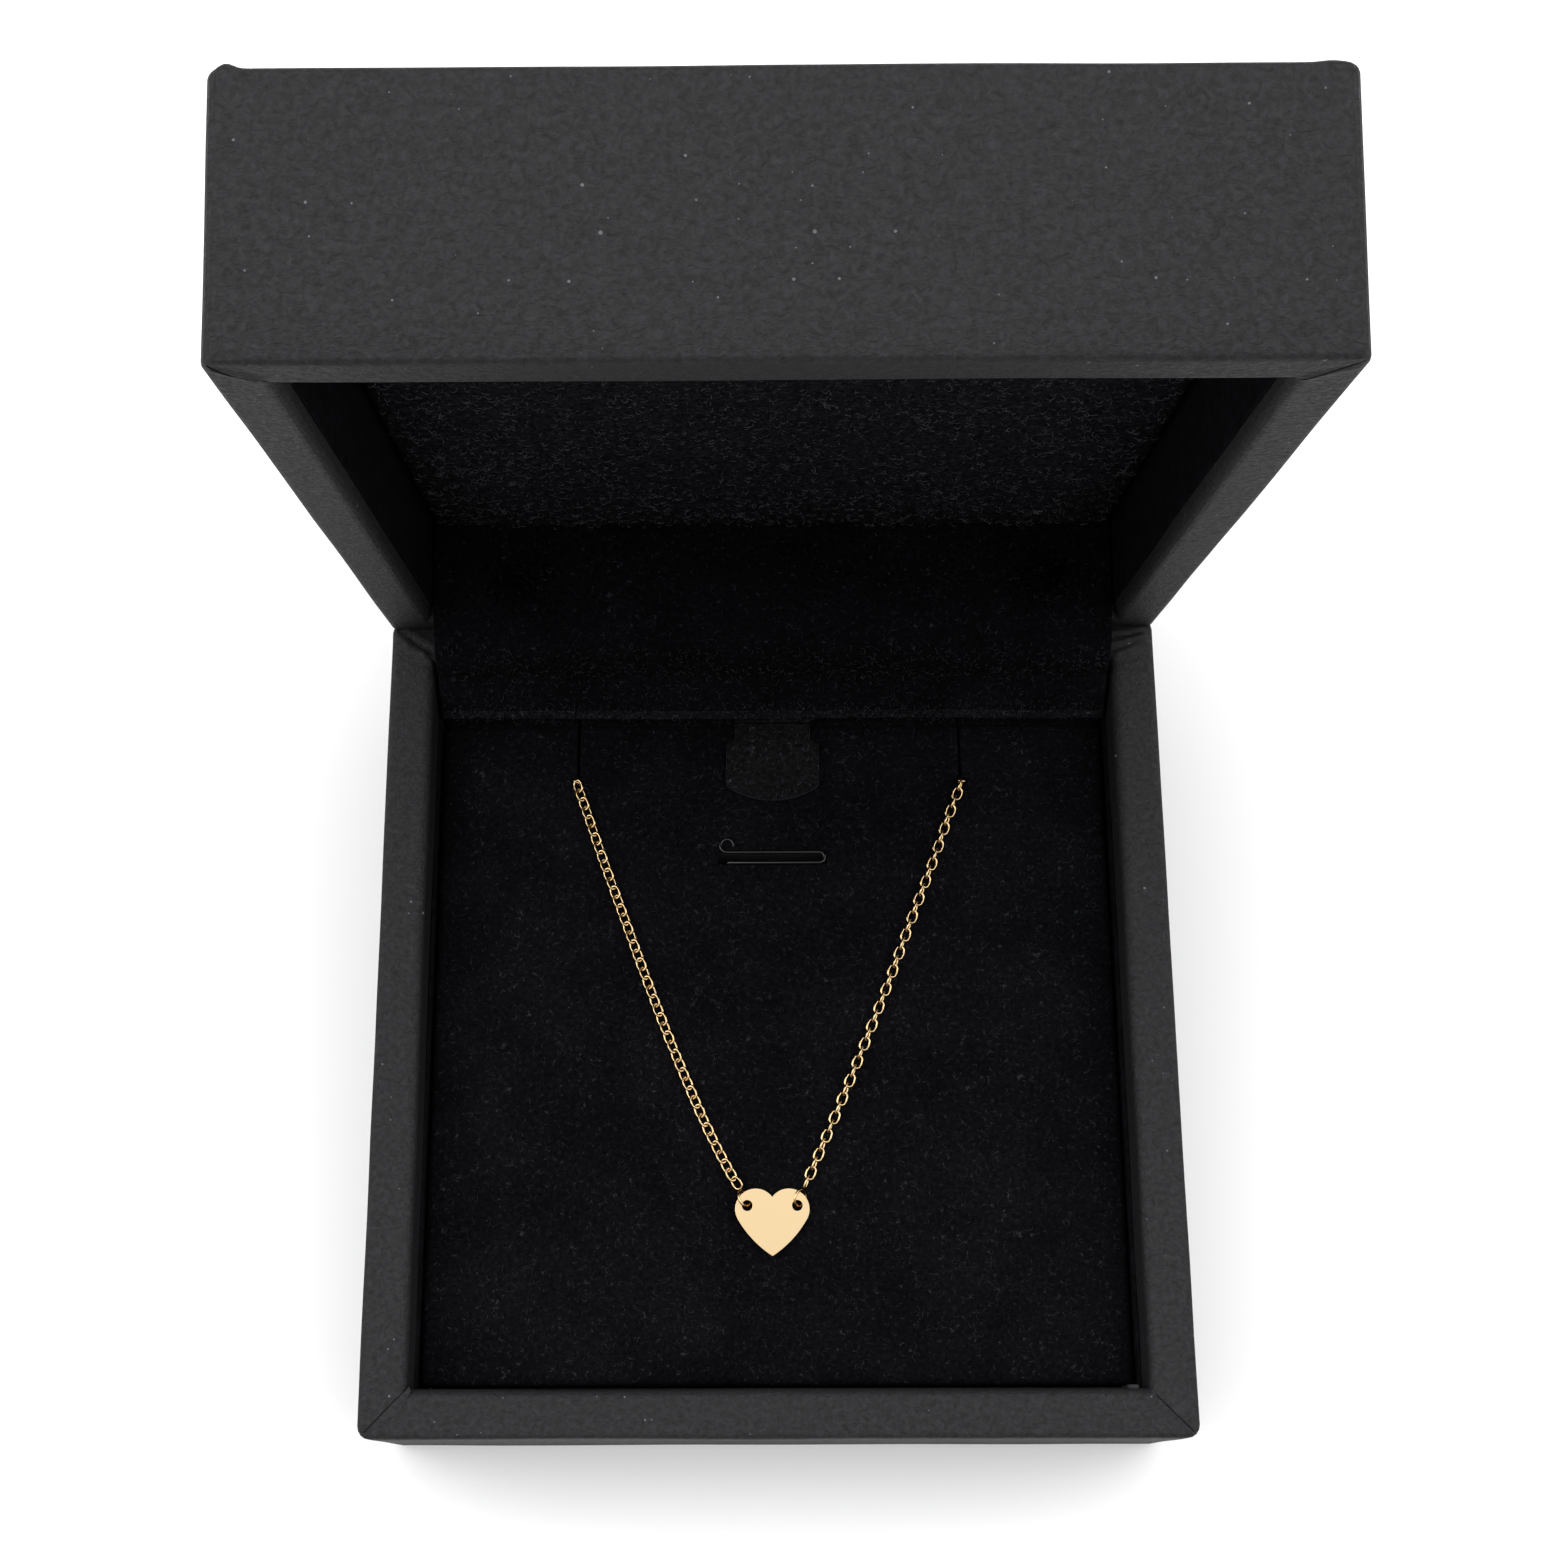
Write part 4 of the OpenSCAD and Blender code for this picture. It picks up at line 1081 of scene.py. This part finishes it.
keeper_x = 5.4
keeper_y = 19.1
keeper_z = 18.8
bend_r = 0.64
eye_r = 0.8
# up out of the foam, over to the right, round the bend, back to the left and round the eye
keeper_line = [
    (x, keeper_y - bend_r, z)
    for x, z in (
        (-keeper_x, 14.0), (-keeper_x, keeper_z - 0.4), (-5.33, keeper_z - 0.14), (-5.1, keeper_z),
    )
]
keeper_bend = arc(keeper_x, keeper_y, bend_r, range(-90, 91, 15))
keeper_eye = arc(-keeper_x, keeper_y + bend_r + eye_r, eye_r, range(-90, -371, -20))
keeper_line += [(x, y, keeper_z) for x, y in keeper_bend + keeper_eye]
keeper = wire("keeper_wire_lacquered", keeper_line, 0.2)
settle(keeper, black_lacquer, 60)
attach(keeper, "insert")
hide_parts("keeper_wire")

# ----------------------------------------------------------
# Chain: drawn gold-plated wire, cut and soldered into flat oval links of 1.33 x 1.8 mm. Each
# strand runs from its ring over the pad, down its slit and round the hollow to the clasp.
# Gold plate on brass: warm yellow metal, polished, with very fine handling marks.
gold = new_finish("polished_gold_plate", Base_Color=linear("#DABC8B"), Metallic=1.0)
gloss(gold, clouds(gold, place_of(gold), 3000.0), 0.1, 0.24)

left_route = [
    (-4.05, -19.56), (-4.5, -19.0), (-6.7, -14.91), (-9.08, -9.73), (-11.97, -2.75),
    (-14.67, 4.34), (-17.27, 11.52), (-19.91, 18.81), (-21.8, 24.34), (-23.1, 28.1),
]
right_route = [
    (3.25, -19.56), (3.5, -19.0), (5.29, -14.98), (7.53, -9.83), (10.44, -2.87),
    (13.26, 4.18), (15.94, 11.34), (18.75, 18.61), (20.72, 24.12), (22.3, 28.1),
]
tail_route = [
    (25, 20), (28, 10), (29, 0), (28, -10), (25, -19), (20, -26), (14, -30), (8, -29),
    (5, -24), (6, -18), (10, -12), (15, -6), (18, 0), (17, 6), (13, 10), (9, 13),
]
strand_z = 19.1
tail_z = 3.75
clasp_y = 13.6
clasp_z = 4.3


def strand_route(on_pad, side, slit_x, end_x):
    """A strand's route: over the pad, down its slit, round the hollow and up to the clasp."""
    route = [Vector((x, y, strand_z)) for x, y in on_pad]
    for back, z in ((0, 18.4), (0, 14.0), (0, 10.1), (0.55, 8.0), (2.2, 4.3)):
        route.append(Vector((slit_x, slit_y - back, z)))
    route += [Vector((side * x, y, tail_z)) for x, y in tail_route]
    return route + [Vector((x, clasp_y, clasp_z)) for x in (end_x + side * 2.2, end_x)]


def eased(route, part):
    """Points along a route at even spacing, on a smooth curve through its points."""
    fine = []
    for i in range(len(route) - 1):
        p0, p1 = route[max(i - 1, 0)], route[i]
        p2, p3 = route[i + 1], route[min(i + 2, len(route) - 1)]
        for k in range(24):
            t = k / 24
            slope = (p2 - p0) * t
            bow = (2 * p0 - 5 * p1 + 4 * p2 - p3) * t * t
            twist = (3 * p1 - p0 - 3 * p2 + p3) * t * t * t
            fine.append(0.5 * (2 * p1 + slope + bow + twist))
    fine.append(route[-1])
    total = sum((b - a).length for a, b in zip(fine, fine[1:]))
    count = round(total / part)
    spacing = total / count
    points, walked, goal = [fine[0]], 0.0, spacing
    for a, b in zip(fine, fine[1:]):
        step = (b - a).length
        while walked + step >= goal - 1e-9 and len(points) <= count:
            points.append(a.lerp(b, (goal - walked) / step))
            goal += spacing
        walked += step
    return points


link_bend_r = 0.52
link_wire_r = 0.145
link_half_side = 0.235


def one_link(name):
    """One oval link: a ring of wire 0.29 mm thick, stretched to 1.8 mm, with straight sides."""
    clear()
    bpy.ops.mesh.primitive_torus_add(
        major_segments=12, minor_segments=6, major_radius=link_bend_r, minor_radius=link_wire_r
    )
    piece = bpy.context.object
    piece.name = name
    for v in piece.data.vertices:
        v.co.x += link_half_side * (1 if v.co.x > 0.01 else -1 if v.co.x < -0.01 else 0)
    return piece


def chain_of_links(name, points, roll, lean, seed):
    """Copies of one link along the points, each turned against the last."""
    pattern = one_link("link_pattern")
    shape = [v.co.copy() for v in pattern.data.vertices]
    loops = [tuple(p.vertices) for p in pattern.data.polygons]
    bpy.data.objects.remove(pattern)
    chance = random.Random(seed)
    corners, faces = [], []
    for i, (a, b) in enumerate(zip(points, points[1:])):
        along = (b - a).normalized()
        helper = Vector((0, 0, 1)) if abs(along.z) < 0.8 else Vector((0, 1, 0))
        across = helper.cross(along).normalized()
        up = along.cross(across)
        turn = math.radians(roll(i) + chance.uniform(-lean, lean))
        flat = across * math.cos(turn) + up * math.sin(turn)
        face = along.cross(flat)
        centre = (a + b) / 2
        start = len(corners)
        corners += [centre + along * c.x + flat * c.y + face * c.z for c in shape]
        faces += [tuple(start + k for k in loop) for loop in loops]
    return mesh_piece(name, corners, faces)


link_pitch = 1.15
left_points = eased(strand_route(left_route, -1, slit_places[0], -4.3), link_pitch)
left_chain = chain_of_links("left_chain_links", left_points, lambda i: 26 if i % 2 else -26, 6, 4)
right_points = eased(strand_route(right_route, 1, slit_places[1], 3.9), link_pitch)
right_chain = chain_of_links("right_chain_links", right_points, lambda i: 12 if i % 2 else 80, 7, 9)
for piece, node in ((left_chain, "chain_left"), (right_chain, "chain_right")):
    settle(piece, gold, 80)
    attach(piece, "insert")
    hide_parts(node)

# ----------------------------------------------------------
# Clasp: a spring ring with its trigger and, on the other strand, the plain ring that it catches.
for node in ("clasp_ring", "clasp_trigger", "clasp_end_ring"):
    refinish(node, gold)

# ----------------------------------------------------------
# Heart: stamped from 0.6 mm sheet, plated, its face lapped flat and its edge bevelled bright.
heart_middle = (-0.4, -19.8)
heart_z = 19.1
heart_t = 0.6
heart_height = 7.5
lobe_r = 2.3
lobe_x = 1.85
hole_places = (-3.2, 2.4)
hole_y = -21.7
hole_r = 0.6
# the sides leave the lobes at 30 degrees below their middles, and bow out on the way to the tip
side_start = math.radians(30)
along = -lobe_x * math.cos(side_start) + (heart_height - lobe_r) * math.sin(side_start)
back = (lobe_x**2 + (heart_height - lobe_r) ** 2 - lobe_r**2) / (2 * lobe_r - 2 * along)
side_x = lobe_x - back * math.cos(side_start)
side_y = back * math.sin(side_start) - lobe_r
tip_turn = math.atan2(-heart_height - side_y, -side_x)
notch = math.acos(-lobe_x / lobe_r)
half_outline = []
for i in range(25):
    a = notch - (notch + side_start) * i / 24
    half_outline.append((lobe_x + lobe_r * math.cos(a), lobe_r * math.sin(a) - lobe_r))
for i in range(1, 12):
    a = (tip_turn + side_start) * i / 12 - side_start
    reach = back + lobe_r
    half_outline.append((side_x + reach * math.cos(a), side_y + reach * math.sin(a)))
heart_outline = half_outline + [(0.0, -heart_height)] + [(-x, y) for x, y in half_outline[:0:-1]]
heart_outline = [(heart_middle[0] + x, heart_middle[1] + y) for x, y in heart_outline]
heart = flat_piece("heart_plate", heart_outline, heart_z, heart_z + heart_t)
for hole_x in hole_places:
    cut(heart, rod(hole_r, 3, (hole_x, hole_y, heart_z + heart_t / 2), 32))
round_edges(heart, 0.13, 50)
# Gold plate over a lapped face: as the chain's, but a nearly clean mirror.
mirror_gold = new_finish(
    "lapped_gold_face", Base_Color=linear("#D1B890"), Metallic=1.0
)
lapping = clouds(mirror_gold, place_of(mirror_gold), 350.0)
gloss(mirror_gold, lapping, 0.06, 0.14)
settle(heart, mirror_gold, 20)
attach(heart, "pendant")
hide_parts("heart_pendant")

# Rings: two round jump rings, one through each hole, each turned along its strand and tipped.
ring_r = 0.9
ring_wire_r = 0.15
strand_turn = 21.55
ring_tip = 50
ring_turns = (strand_turn, -strand_turn)
for name, hole_x, turn in zip(("left_ring", "right_ring"), hole_places, ring_turns):
    clear()
    bpy.ops.mesh.primitive_torus_add(
        major_segments=40, minor_segments=12, major_radius=ring_r, minor_radius=ring_wire_r
    )
    ring = bpy.context.object
    ring.name = name
    through_hole = (
        Matrix.Translation((hole_x, hole_y, heart_z + heart_t / 2))
        @ Matrix.Rotation(math.radians(turn), 4, "Z")
        @ Matrix.Rotation(math.radians(ring_tip), 4, "Y")
        @ Matrix.Translation((0, ring_r, 0))
    )
    settle(ring, gold, 80, through_hole)
    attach(ring, "pendant")
    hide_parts("pendant_rings")
